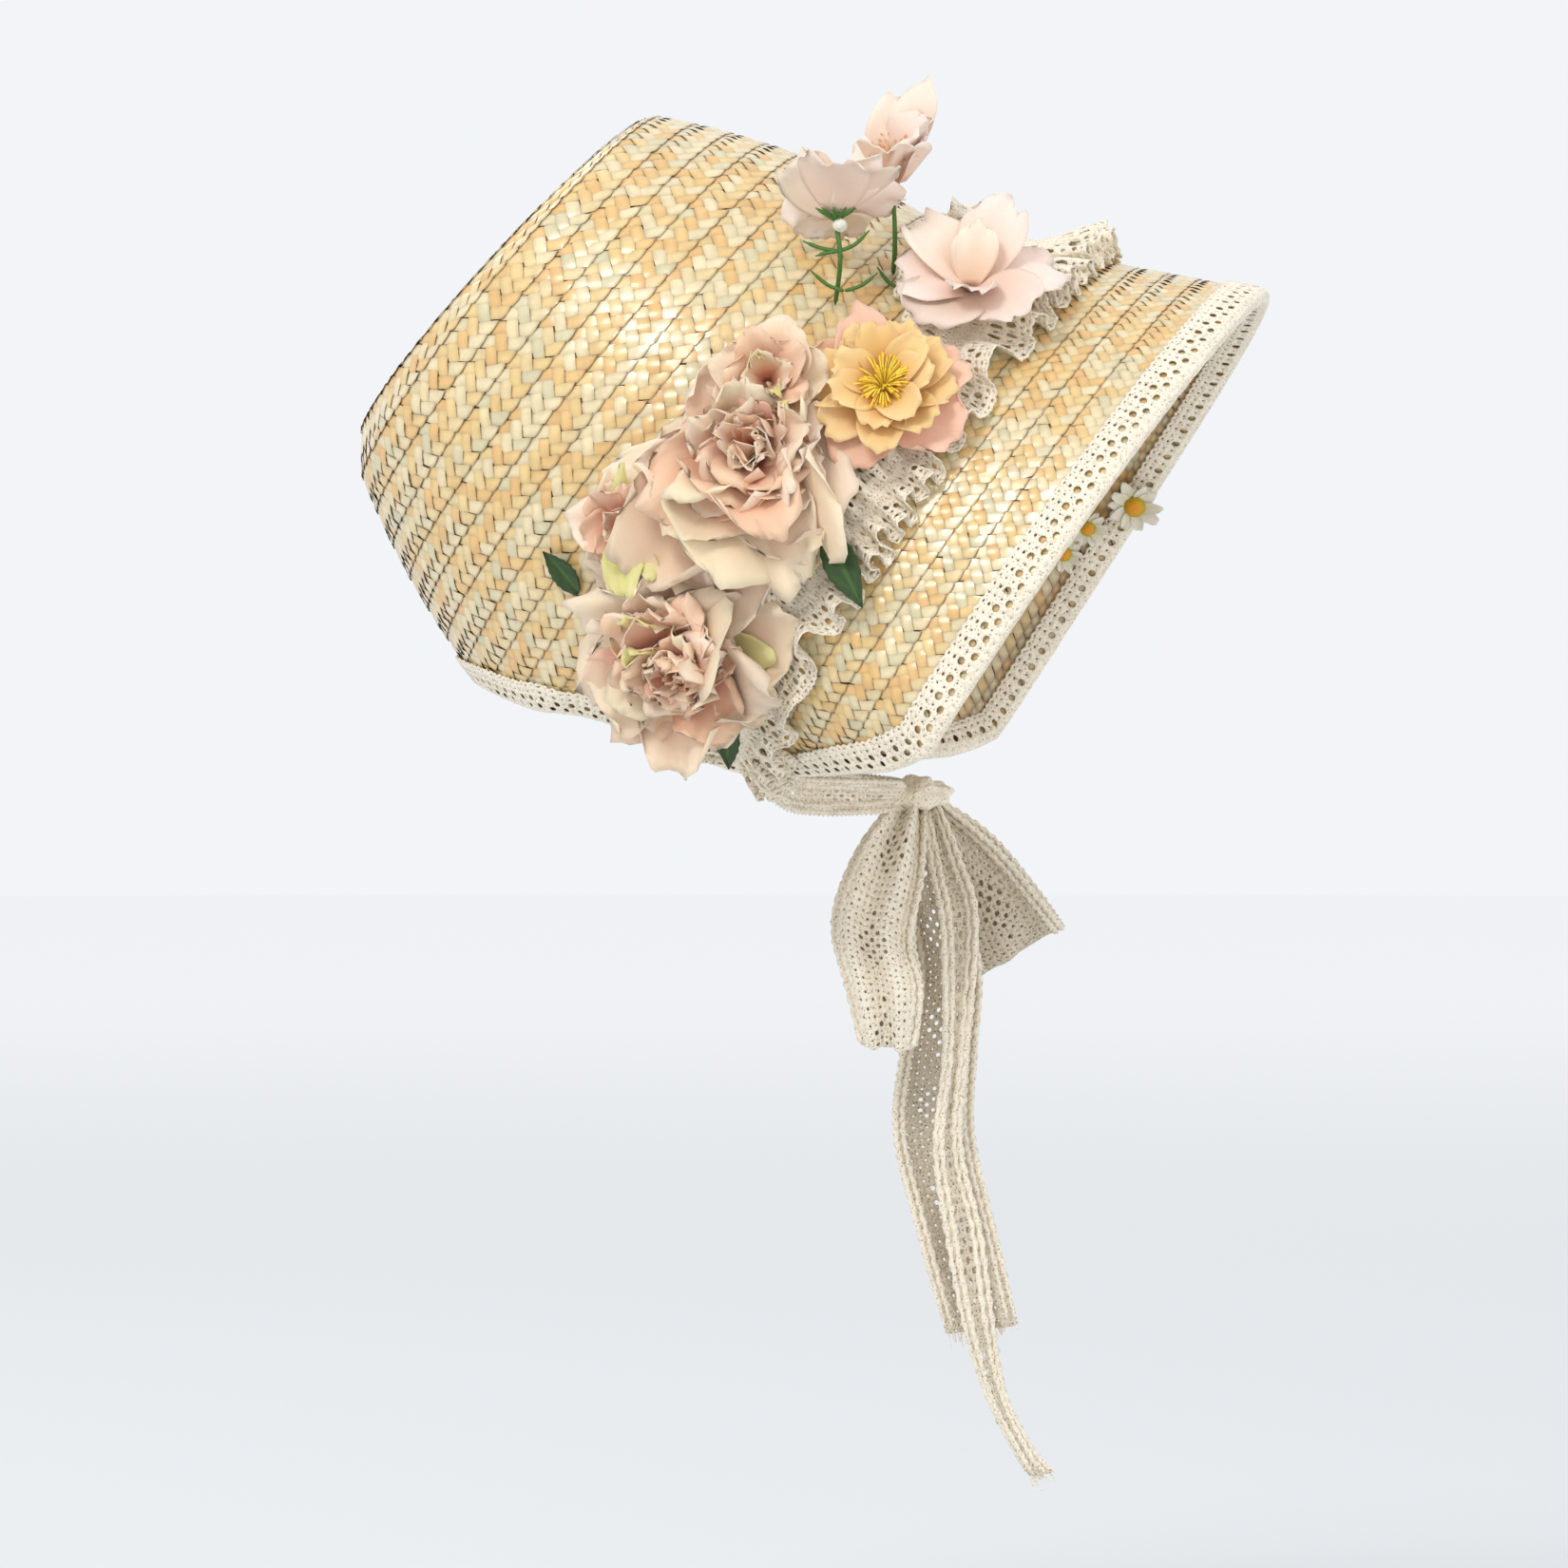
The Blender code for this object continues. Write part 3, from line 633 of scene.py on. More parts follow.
def standing(point: Sequence[float], axis: Sequence[float], front: Sequence[float] = (0, -1, 0)) -> Matrix:
    """Frame at a point with Z along an axis and Y near a front direction."""
    up = Vector(axis).normalized()
    ahead = Vector(front)
    ahead = (ahead - up * ahead.dot(up)).normalized()
    turn = Matrix((ahead.cross(up), ahead, up)).transposed().to_4x4()
    return Matrix.Translation(Vector(point)) @ turn


def in_frame(matrix: Matrix, points: Array) -> Array:
    """Points moved from a frame's own coordinates into the bonnet's."""
    grid = np.array(matrix)
    return points @ grid[:3, :3].T + grid[:3, 3]


# Straw


class Face(Enum):
    """Side of the straw wall that a braid covers."""

    OUTSIDE = 1
    INSIDE = -1


@dataclass(frozen=True)
class Strand:
    """A column of blades along a row: lengths are shares of the row's width, heights of the braid's relief.

    middle is the column's place across the row and ahead its shift along it. turn is 1 or -1 for the way
    that the blades slant. They rise from foot over arch to head, and crumple roughens them.
    """

    middle: float
    ahead: float
    turn: float
    length: float
    foot: float
    arch: float
    head: float
    paleness: float
    crumple: float = 0.02


@dataclass
class Braid:
    """Rows of plaited straw: blades that cross under and over, and a folded edge that laps the next row."""

    name: str
    first: float
    last: float
    face: Face = Face.OUTSIDE
    relief: float = 1.05 * MM
    seed: int = 3
    detail: tuple[int, int] = (3, 5)
    spacing: float = 0.504
    lap: float = 0.045
    finish: StrawFinish = field(default_factory=StrawFinish)
    strands: tuple = (Strand(0.110, 0.256, 1.0, 0.687, 0.02, 0.36, 0.10, 0.42),
                      Strand(0.470, 0.000, -1.0, 0.687, 0.02, 0.86, 0.06, 0.52),
                      Strand(0.857, -0.228, 1.0, 0.763, 0.12, 0.26, 0.84, 0.72, 0.10))

    def width(self) -> float:
        """Width of a row."""
        return SURFACE.crown_pitch if self.first < 9 else 10.6 * MM

    def surface(self, row: Array, angle: Array, lift: Array) -> Array:
        """Points of the surface that the braid covers."""
        return SURFACE.shell(row, angle, lift)

    def limit(self, row: Array) -> Array:
        """Largest angle of a row."""
        return SURFACE.limit(row)

    def build(self) -> bpy.types.Object:
        """Lay every blade of every row."""
        rng = np.random.default_rng(self.seed)
        tile = grid_tile(*self.detail)
        local = points_of(tile)
        across, down = local[:, 0] + 0.5, local[:, 1] + 0.5
        points, tints = [], []
        for row in np.arange(self.first, self.last - 0.01, 1.0):
            turns = np.linspace(-1, 1, 241) * self.limit(np.array(row + 0.5))
            line = self.surface(np.full_like(turns, row + 0.5), turns, np.zeros_like(turns))
            lengths = distances(line)
            count = int(lengths[-1] / (self.spacing * self.width()))
            centres = (np.arange(count + 2) - 0.5 + rng.uniform(0, 1)) * lengths[-1] / count
            for strand in self.strands:
                laid, tinted = self.column(row, strand, (turns, lengths, centres), across, down, rng)
                points.append(laid)
                tints.append(tinted)
        mesh = laid_out(self.name, tile, np.concatenate(points), np.concatenate(tints))
        if self.face is Face.INSIDE:
            mesh.flip_normals()
        return piece(self.name, mesh, self.finish, Slot.STRAW)

    def column(self, row: float, strand: Strand, line: tuple[Array, Array, Array], across: Array,
               down: Array, rng: np.random.Generator) -> tuple[Array, Array]:
        """Blades of one column of one row.

        Args:
            row: Row that the column lies in.
            strand: The column's shape.
            line: Angles along the row, their distances from its start, and the blades' distances.
            across: Place of each of the tile's points across its blade, from 0 to 1.
            down: Place of each point along it, from 0 to 1.
            rng: Source of the blades' variation.

        Returns:
            The blades' points and tints.
        """
        turns, lengths, centres = line
        count, width = len(centres), self.width()
        side = (across[None, :] - 0.5) * rng.uniform(0.97, 1.10, (count, 1)) * self.spacing * width
        side = side * math.sqrt(0.5) * (1 - 0.10 * (2 * down[None, :] - 1) ** 2)
        far = (down[None, :] - 0.5) * strand.length * width * rng.uniform(0.97, 1.05, (count, 1))
        bent = rng.normal(0, 0.05, (count, 1)) + 0.10 * rng.normal(0, 1, (count, 1)) * (down[None, :] - 0.5)
        side, far = side + far * bent, far - side * bent
        distance = centres[:, None] + rng.normal(0, 0.02, (count, 1)) * width
        distance = distance + strand.ahead * width + (side + strand.turn * far) * math.sqrt(0.5)
        share = strand.middle + (far - strand.turn * side) * math.sqrt(0.5) / width
        seam = 1.03 + self.lap * (0.5 - across[None, :]) + rng.normal(0, 0.008, (count, 1))
        share = np.clip(share, -0.06, seam)
        at_row = row + share
        angle = np.interp(distance, lengths, turns)
        angle = np.clip(angle, -self.limit(at_row), self.limit(at_row))
        height = strand.foot + (strand.head - strand.foot) * down[None, :]
        height = height + strand.arch * 4 * (down - down ** 2)[None, :]
        height = height + 0.10 * (1 - (2 * across[None, :] - 1) ** 2)
        tilt = rng.normal(0, 0.09, (2, count, 1))
        height = height + tilt[0] * (across[None, :] - 0.5) + tilt[1] * (down[None, :] - 0.5)
        height = height + rng.normal(0, strand.crumple, (count, len(down)))
        lift = (height + 0.10) * self.relief
        if self.face is Face.INSIDE:
            lift = -SURFACE.wall - lift - LINING_GAP
        points = self.surface(at_row, angle, lift)
        return points, self.tints(strand, share, across, down, rng)

    def tints(self, strand: Strand, share: Array, across: Array, down: Array,
              rng: np.random.Generator) -> Array:
        """Colours of a column's blades: each its own straw. Painted shade falls where a blade meets its
        neighbours, dives under them or turns down at the hem, and a painted shadow lies below the lapping
        row.
        """
        count = len(share)
        kind = rng.uniform(0, 1, (count, 1)) + 0.55 * (strand.paleness - 0.5)
        amber = smooth((0.40 - kind) / 0.34)
        pale = smooth((kind - 0.36) / 0.40)
        sage = smooth((rng.uniform(0, 1, (count, 1)) - 0.62) / 0.3) * pale
        colour = mixed(self.finish.gold, self.finish.pale, pale)
        for other, amount in ((self.finish.amber, amber), (self.finish.sage, sage)):
            colour = colour + (np.asarray(other) - colour) * amount[..., None]
        # Painted shade, as shares of the shade colour: along each blade's sides where it meets its
        # neighbours, at its ends where it dives under them, and on the folded hem as it turns down over the
        # next row. A painted shadow (seam) lies just below the lapping edge of the row above.
        edge = smooth((0.16 - np.minimum(across, 1 - across)) / 0.16) * 0.20
        tuck_shade = smooth((np.abs(down - 0.5) - 0.34) / 0.16) * 0.30
        seam = smooth((0.05 - share) / 0.07) * 0.75 * (strand.middle < 0.3)
        hem_shade = smooth((share - 0.975) / 0.04) * 0.30 * (strand.middle > 0.7)
        dark = np.clip((edge + tuck_shade)[None, :] + seam + hem_shade, 0, 0.85)[..., None]
        return colour * (1 - dark) + np.asarray(self.finish.shade) * dark


@dataclass
class TipBraid(Braid):
    """The braid wound into the crown's flat end, from its middle to its rim."""

    name: str = "tip_braid"
    first: float = 0.0
    last: float = 7.0
    detail: tuple[int, int] = (3, 4)

    def surface(self, row: Array, angle: Array, lift: Array) -> Array:
        """Points of the slightly domed disc, the row counted from its middle."""
        rim = SURFACE.point(np.full_like(np.asarray(angle, float), -1.0), angle)
        ends = SURFACE.point(np.array([-1.0, -1.0]), np.array([0.0, math.pi]))
        middle = ends.mean(axis=0)
        axis = SURFACE.placed(np.array(0.0), np.array(0.0), np.array(0.0)) - SURFACE.placed(
            np.array(1.0), np.array(0.0), np.array(0.0))
        share = np.clip(np.asarray(row) / self.last, 0.004, 1.005)[..., None]
        dome = SURFACE.tip_dome * (1 - share * share)
        return middle + (rim - middle) * share + axis * (dome + np.asarray(lift)[..., None])

    def limit(self, row: Array) -> Array:
        """The tip's rows close round."""
        return np.full_like(np.asarray(row, float), math.pi)


# Lace


@dataclass
class LaceBand:
    """Crochet lace as a band of pierced tiles, in columns along it and rows across it."""

    name: str
    columns: int
    rows: int
    nodes: Sequence[str]
    thickness: float = 0.55 * MM
    picot: float = 0.30
    picots: tuple[bool, bool] = (True, True)
    finish: LaceFinish = field(default_factory=LaceFinish)

    def holes(self, column: Array, row: Array) -> Array:
        """Size of the hole in each tile, as a share of the tile."""
        raise NotImplementedError

    def place(self, u: Array, v: Array) -> Array:
        """Points of the band, read along it and across it from 0 to 1."""
        raise NotImplementedError

    def build(self) -> bpy.types.Object:
        """Lay the tiles and weld them into one band."""
        tile = pierced_tile()
        local = points_of(tile)[:, :2]
        column, row = (grid.reshape(-1, 1) for grid in
                       np.meshgrid(np.arange(self.columns), np.arange(self.rows), indexing="ij"))
        inner = np.linalg.norm(local, axis=1) < 0.4
        size = self.holes(column, row)
        x = np.where(inner[None, :], local[None, :, 0] / HOLE_RADIUS * size, local[None, :, 0])
        y = np.where(inner[None, :], local[None, :, 1] / HOLE_RADIUS * np.minimum(size * 1.12, HOLE_LIMIT),
                     local[None, :, 1])
        low = (row == 0) & (local[None, :, 1] < -0.49) & (np.abs(local[None, :, 0]) < 0.1)
        high = (row == self.rows - 1) & (local[None, :, 1] > 0.49) & (np.abs(local[None, :, 0]) < 0.1)
        y = y - low * self.picot * self.picots[0] + high * self.picot * self.picots[1]
        u = (column + 0.5 + x) / self.columns
        v = (row + 0.5 + y) / self.rows
        mesh = laid_out(self.name, tile, self.place(u, v), weld=LACE_WELD)
        return piece(self.name, mesh, self.finish, Slot.LACE, self.nodes, self.thickness)


@dataclass
class Ruffle(LaceBand):
    """Gathered lace over the join of crown and brim, waved at both edges."""

    name: str = "lace_ruffle"
    columns: int = 368
    rows: int = 10
    nodes: Sequence[str] = ("ruffle",)
    gathers: float = 50.0
    edges: tuple = (0.0, 0.05, 0.11, 0.21, 0.33, 0.5, 0.67, 0.79, 0.89, 0.95, 1.0)
    # Straw rows that the two edges lie on, from the top of the crown to the brim's corners.
    rear_rows: tuple = ((9.0,), (9.1,), (9.5,), (12.0,), (12.2,), (12.3,), (12.5,), (13.0,))
    front_rows: tuple = ((14.1,), (14.2,), (14.3,), (14.5,), (14.75,), (14.85,), (15.5,), (15.4,))

    def holes(self, column: Array, row: Array) -> Array:
        """Large ovals along both edges, small ones beside them and a dense middle."""
        rank = np.minimum(row, self.rows - 1 - row)
        even = (column + rank) % 2 == 0
        large, small = (0.22, 0.30, 0.41, 0.36, 0.14), (0.14, 0.16, 0.16, 0.14, 0.09)
        return np.where(even, np.take(large, rank), np.take(small, rank))

    def place(self, u: Array, v: Array) -> Array:
        """Points of the ruffle: low on its gathering line, its frills folded over at both edges."""
        v = np.interp(v, np.linspace(0, 1, self.rows + 1), self.edges) + 0.4 * (v - np.clip(v, 0, 1))
        end = SURFACE.limit(np.array(14.3)) - math.radians(3)
        spread = 2 * v - 1
        phase = 2 * math.pi * (self.gathers * u + 0.7 * np.sin(9.0 * math.pi * u) + 0.35 * np.sin(31 * u))
        phase = phase + 0.5 * np.sign(spread) * np.abs(spread)
        size = 1 + 0.20 * np.sin(37 * u + 2 * spread) + 0.14 * np.sin(101 * u)
        angle = (2 * u - 1) * end
        turn = np.degrees(np.abs(angle)) / 140
        rear, front = (along(side, turn)[..., 0] for side in (self.rear_rows, self.front_rows))
        wave, reach = np.sin(phase), np.abs(spread)
        on_top = 1 - smooth(np.abs(angle) / math.radians(60))
        foot = 1.9 * MM + 1.5 * MM * smooth((np.abs(angle) - end + 0.45) / 0.2)
        crumple = np.sin(2.6 * phase + 9 * v) * np.sin(21 * v + 0.7 * phase) * (0.3 + reach)
        lift = foot + reach * (3.9 + 0.7 * on_top) * MM * (1.15 + wave) * size
        lift = lift + 0.6 * MM * (1 + wave) + 0.55 * MM * (1 + crumple)
        row = blend(rear, front, v) + 0.16 * spread * np.cos(phase * 0.5 + 2) - 0.22 * spread * wave * size
        sway = (-1.55 * np.sin(2 * phase) - 0.7 * np.sin(3 * phase + 40 * u)) * reach ** 1.5 * MM / 0.13
        return SURFACE.shell(row, angle + sway, lift)


@dataclass
class Edging(LaceBand):
    """Lace folded over the straw's edge, with one leg outside and one inside."""

    name: str = "brim_lace"
    columns: int = 200
    rows: int = 10
    nodes: Sequence[str] = ("brim_edging",)
    front: bool = True
    picot: float = 0.55
    edges: tuple = (0.0, 0.07, 0.16, 0.28, 0.40, 0.53, 0.66, 0.77, 0.87, 0.94, 1.0)
    picots: tuple[bool, bool] = (True, True)

    # Distance in from the straw's edge and height above the straw, in millimetres, outside to inside.
    profile: tuple = ((12.0, 2.0), (9.0, 2.3), (6.0, 2.3), (3.0, 2.1), (0.3, 1.9), (-2.1, 0.9), (-2.9, -1.0),
                      (-2.0, -3.6), (1.5, -4.8), (5.5, -5.3), (9.0, -5.2))
    # Radius of the holes in each row, as shares of a tile, in even and odd columns.
    even_holes: tuple = (0.18, 0.20, 0.42, 0.10, 0.05, 0.04, 0.05, 0.38, 0.16, 0.16)
    odd_holes: tuple = (0.14, 0.12, 0.11, 0.42, 0.05, 0.04, 0.05, 0.12, 0.12, 0.12)

    def holes(self, column: Array, row: Array) -> Array:
        """Small holes, large ovals alternating in two lines, then a dense band round the fold."""
        return np.where(column % 2 == 0, np.take(self.even_holes, row), np.take(self.odd_holes, row))

    def stations(self) -> Array:
        """Rows and angles along the edge, from the bonnet's right to its left."""
        if self.front:
            rows = np.array([15.2, 15.9, 16.5, 17.0, 17.4, 17.8, 18.2, 18.6])
            side = np.stack((rows, SURFACE.limit(rows)), -1)
            turns = np.linspace(SURFACE.limit(np.array(19.0)), 0.0, 40)
            side = np.concatenate((side, np.stack((np.full_like(turns, 19.0), turns), -1)))
        else:
            rows = np.concatenate((np.linspace(14.4, 8.0, 26), np.linspace(7.8, SURFACE.back + 0.02, 24)))
            side = np.stack((rows, SURFACE.limit(rows)), -1)
            side = np.concatenate((side, [(SURFACE.back, math.pi)]))
        far = side[-2::-1] if self.front else side[-2::-1] - (0, 2 * math.pi)
        return np.concatenate((side * (1, -1), far))

    def place(self, u: Array, v: Array) -> Array:
        """Points of the lace, read along the edge and round the fold."""
        v = np.interp(v, np.linspace(0, 1, self.rows + 1), self.edges) + 0.6 * (v - np.clip(v, 0, 1))
        stations = self.stations()
        line = SURFACE.point(*stations.T)
        lengths = distances(line)
        even = np.linspace(0, lengths[-1], 400)
        rows, angles = (np.interp(even, lengths, stations[:, axis]) for axis in (0, 1))
        here = SURFACE.point(rows, angles)
        kernel = np.hanning(25) / np.hanning(25).sum()
        padded = np.concatenate((np.repeat(here[:1], 12, 0), here, np.repeat(here[-1:], 12, 0)))
        eased = np.stack([np.convolve(padded[:, axis], kernel, "valid") for axis in range(3)], -1)
        out = SURFACE.out(rows, angles)
        inland = unit(np.cross(np.gradient(eased, axis=0), out))
        middle = SURFACE.point(np.full_like(rows, 8.0), 0.35 * wrapped(angles))
        inland *= np.sign((inland * (middle - here)).sum(-1, keepdims=True))
        at = np.clip(u, 0, 1) * (len(even) - 1)
        distance, lift = (along(self.profile, v)[..., axis] * MM for axis in (0, 1))
        distance = distance + 26 * MM * np.abs(v - np.clip(v, 0, 1))

        def read(values: Array) -> Array:
            """Values read at each point's place along the edge."""
            return np.stack([np.interp(at, np.arange(len(even)), values[:, axis])
                             for axis in range(values.shape[1])], -1)
        row, angle = read(np.stack((rows, angles), -1)).transpose(2, 0, 1)
        ahead = unit(read(inland))
        walked = np.maximum(distance, 0.0)
        for _ in range(4):
            by_row, by_angle = SURFACE.slopes(row, angle)
            flat = unit(np.cross(by_row, by_angle))
            ahead = unit(ahead - flat * (ahead * flat).sum(-1, keepdims=True))
            rr, ra, aa = ((a * b).sum(-1) for a, b in ((by_row, by_row), (by_row, by_angle),
                                                      (by_angle, by_angle)))
            ir, ia = ((ahead * b).sum(-1) * walked / 4 for b in (by_row, by_angle))
            scale = 1 / (rr * aa - ra * ra)
            row, angle = row + (ir * aa - ia * ra) * scale, angle + (ia * rr - ir * ra) * scale
        loose = 0.25 * MM * np.sin(u * 420) * np.cos(v * 9)
        point = SURFACE.shell(row, angle, lift + loose)
        return point + unit(read(inland)) * np.minimum(distance, 0.0)[..., None]


KNOT = np.array((0.0, -0.0205, -0.2350))


@dataclass
class Ribbon(LaceBand):
    """Lace band of the ties and the bow along a route of (x, y, z, width, lean out of the YZ plane).

    It lies square to the line from the knot, and its pleats fade where it turns back at a loop's fold.
    """

    route: Sequence[Sequence[float]] = ()
    pleats: float = 1.5
    pleat_depth: float = 1.6 * MM

    def holes(self, column: Array, row: Array) -> Array:
        """Holes in lozenges along the middle, with a closer border."""
        centre = np.abs(row - (self.rows - 1) / 2)
        lozenge = (np.abs((column % 14) - 6.5) * 0.7 + centre * 1.1) < 3.4
        even = (column + row) % 2 == 0
        fine = np.where(even, 0.20, 0.11)
        return np.where(centre > self.rows / 2 - 1.2, 0.07, np.where(lozenge & even, 0.37, fine))

    def place(self, u: Array, v: Array) -> Array:
        """Points of the ribbon, with pleats that run along it and open away from the knot."""
        line = along(self.route, u)
        x, y, z, width, lean = (line[..., axis] for axis in range(5))
        ahead = along(self.route, np.minimum(u + 0.01, 1))[..., :3] - along(
            self.route, np.maximum(u - 0.01, 0))[..., :3]
        flat = unit(np.stack((np.zeros_like(x), KNOT[2] - z, y - KNOT[1]), -1))
        steep = smooth(1.3 * np.linalg.norm(ahead[..., 1:], axis=-1) / np.linalg.norm(ahead, axis=-1))
        turn = np.radians(lean)[..., None]
        flat = flat * np.cos(turn) + np.array((1.0, 0.0, 0.0)) * np.sin(turn)
        normal = unit(np.cross(ahead, flat))
        middle = v - 0.5
        depth = self.pleat_depth * np.sin(2 * math.pi * self.pleats * v + 3.0 * u)
        depth = steep * (depth + 0.5 * MM * np.sin(11 * v + 23 * u))
        return (np.stack((x, y, z), -1) + flat * (width * middle)[..., None] + normal * depth[..., None])

    def border(self, edge: float, inset: float) -> Array:
        """Points along one edge of the ribbon, or beside it at an inset."""
        u = np.linspace(0.015, 0.985, 48)
        width = along(self.route, u)[:, 3]
        return self.place(u, edge + np.sign(0.5 - edge) * np.minimum(inset / width, 0.25))


def under_knot(x: float, y: float, width: float, lower: float = 0.0002) -> tuple[float, ...]:
    """Start of a band gathered inside the knot."""
    return x, y, KNOT[2] - 0.0025 - lower, width, 0


@dataclass
class Bow:
    """Chin ties, knot, two loops and two tails with frayed ends."""

    finish: LaceFinish = field(default_factory=LaceFinish)
    # Painted shade: a darker copy of the lace's cotton for the far loop and both tails, which lie in shade.
    shaded: LaceFinish = LaceFinish("shaded_lace_cotton", srgb(0.85, 0.80, 0.71), srgb(0.74, 0.68, 0.57),
                                    srgb(0.54, 0.47, 0.36))
    loop_near: tuple = (under_knot(-0.0062, -0.0190, 0.012, 0.0006), (-0.023, -0.0123, -0.2604, 0.0265, 0),
                        (-0.034, -0.0067, -0.2857, 0.0305, 0), (-0.038, -0.0110, -0.3073, 0.029, 0),
                        (-0.032, -0.0123, -0.3310, 0.0205, 0), (-0.026, -0.0110, -0.3073, 0.028, 0),
                        (-0.024, -0.0075, -0.2857, 0.029, 0), (-0.014, -0.0125, -0.2604, 0.021, 0),
                        under_knot(-0.0038, -0.0190, 0.010, 0.0006))
    loop_far: tuple = (under_knot(0.0062, -0.0240, 0.008, 0.0012), (0.020, -0.0390, -0.2590, 0.023, 0),
                       (0.028, -0.0520, -0.2840, 0.034, 0), (0.024, -0.0590, -0.2964, 0.0376, 0),
                       (0.018, -0.0520, -0.2840, 0.034, 0), (0.014, -0.0390, -0.2600, 0.022, 0),
                       under_knot(0.0038, -0.0240, 0.008, 0.0012))
    tail_flat: tuple = (under_knot(0.0011, -0.0215, 0.010), (0.0010, -0.0250, -0.270, 0.020, 0),
                        (0.0000, -0.0325, -0.303, 0.0245, 0), (0.0000, -0.0290, -0.337, 0.028, 0),
                        (-0.001, -0.0275, -0.366, 0.029, 0),
                        (-0.002, -0.0360, -0.402, 0.028, 0), (-0.002, -0.0465, -0.4425, 0.027, 0))
    tail_folded: tuple = (under_knot(-0.0020, -0.0260, 0.006), (-0.0080, -0.0330, -0.262, 0.011, 0),
                          (-0.0110, -0.0385, -0.285, 0.013, 0), (-0.0110, -0.0370, -0.333, 0.008, 0),
                          (-0.0110, -0.0340, -0.370, 0.009, 0), (-0.0110, -0.0400, -0.404, 0.012, 0),
                          (-0.0110, -0.0460, -0.440, 0.010, 0), (-0.0100, -0.0530, -0.468, 0.006, 0),
                          (-0.0090, -0.0640, -0.490, 0.006, 0), (-0.0080, -0.0700, -0.498, 0.009, 0))

    def build(self) -> None:
        """Build the ties, the knot, the loops, the tails and their frayed ends."""
        bands: list[Ribbon] = []
        for side, name in ((-1, "right"), (1, "left")):
            chin = SURFACE.shell(np.array(14.5), SURFACE.limit(np.array(14.5)) - math.radians(2),
                                 np.array(-0.006))
            route = ((side * abs(chin[0]), chin[1], chin[2], 0.016, 0),
                     (side * 0.050, 0.0245, -0.2320, 0.013, 10 * side),
                     (side * 0.030, 0.004, -0.2345, 0.0125, 15 * side),
                     (side * 0.0085, -0.0165, -0.2350, 0.010, 0))
            tie = Ribbon(f"chin_tie_{name}", 30, 7, (f"tie_{name}",), route=route, pleats=1.0,
                         pleat_depth=1.4 * MM)
            tie.build()
            bands.append(tie)
        near = Ribbon("bow_near", 76, 13, ("bow_loop_near",), route=self.loop_near, pleats=2.0,
                      pleat_depth=3.0 * MM)
        near.build()
        far = Ribbon("bow_far", 50, 13, ("bow_loop_far",), finish=self.shaded, route=self.loop_far,
                     pleats=1.6, pleat_depth=1.6 * MM)
        far.build()
        flat = Ribbon("tail_open", 80, 11, ("bow_tail_flat",), finish=self.shaded, route=self.tail_flat,
                      pleats=1.4, pleat_depth=2.6 * MM)
        flat.build()
        folded = Ribbon("tail_doubled", 84, 7, ("bow_tail_folded",), finish=self.shaded,
                        route=self.tail_folded, pleats=0.6, pleat_depth=1.9 * MM)
        folded.build()
        bands += [near, far, flat, folded]
        chains = np.array([band.border(edge, inset) for band in bands
                           for edge, inset in ((0.0, 0.0), (0.0, 2.7 * MM), (1.0, 0.0), (1.0, 2.7 * MM))])
        borders = tubes("chain_borders", chains, 1.25 * MM, LaceFinish.colour, segments=150, twist=42.0)
        piece("chain_borders", borders, self.finish, Slot.LACE)
        self.knot()
        self.frays()

    def knot(self) -> None:
        """Knot: a barrel wound with folds of lace."""
        tile = grid_tile(48, 20)
        local = points_of(tile)
        around, down = (local[:, 0] + 0.5) * 2 * math.pi, local[:, 1] + 0.5
        swell = np.sin(math.pi * np.clip(down, 0.0, 1.0)) ** 0.35
        folds = 1 + 0.20 * np.sin(3 * around + 6 * down + 1) + 0.08 * np.sin(8 * around - 7 * down)
        radius = 0.0092 * swell * folds
        points = np.stack((KNOT[0] + (down - 0.5) * 0.0215, KNOT[1] + 1.30 * radius * np.cos(around),
                           KNOT[2] + 0.74 * radius * np.sin(around) - 0.0016 * np.cos(around)), -1)
        mesh = laid_out("knot_lace", tile, points[None], weld=0.00002)
        piece("knot_lace", mesh, self.finish, Slot.LACE, ("bow_knot",))

    def frays(self) -> None:
        """Loose threads at the tails' cut ends."""
        rng = np.random.default_rng(8)
        paths = []
        for end, before, width, count in ((self.tail_flat[-1], self.tail_flat[-2], 0.026, 24),
                                          (self.tail_folded[-1], self.tail_folded[-2], 0.009, 16)):
            end, before = np.array(end[:3]), np.array(before[:3])
            ahead = unit(end - before)
            beside = unit(np.array((0.0, -ahead[2], ahead[1])))
            for share in np.linspace(-0.5, 0.5, count):
                start = end + beside * share * width - ahead * 1.5 * MM
                bend = rng.normal(0, 1.0 * MM, 3)
                reach = rng.uniform(3.0, 6.5) * MM
                paths.append([start, start + ahead * reach * 0.5 + bend * 0.4, start + ahead * reach + bend])
        mesh = tubes("frayed_threads", np.array(paths), 0.22 * MM, LaceFinish.colour)
        piece("frayed_threads", mesh, self.finish, Slot.LACE)


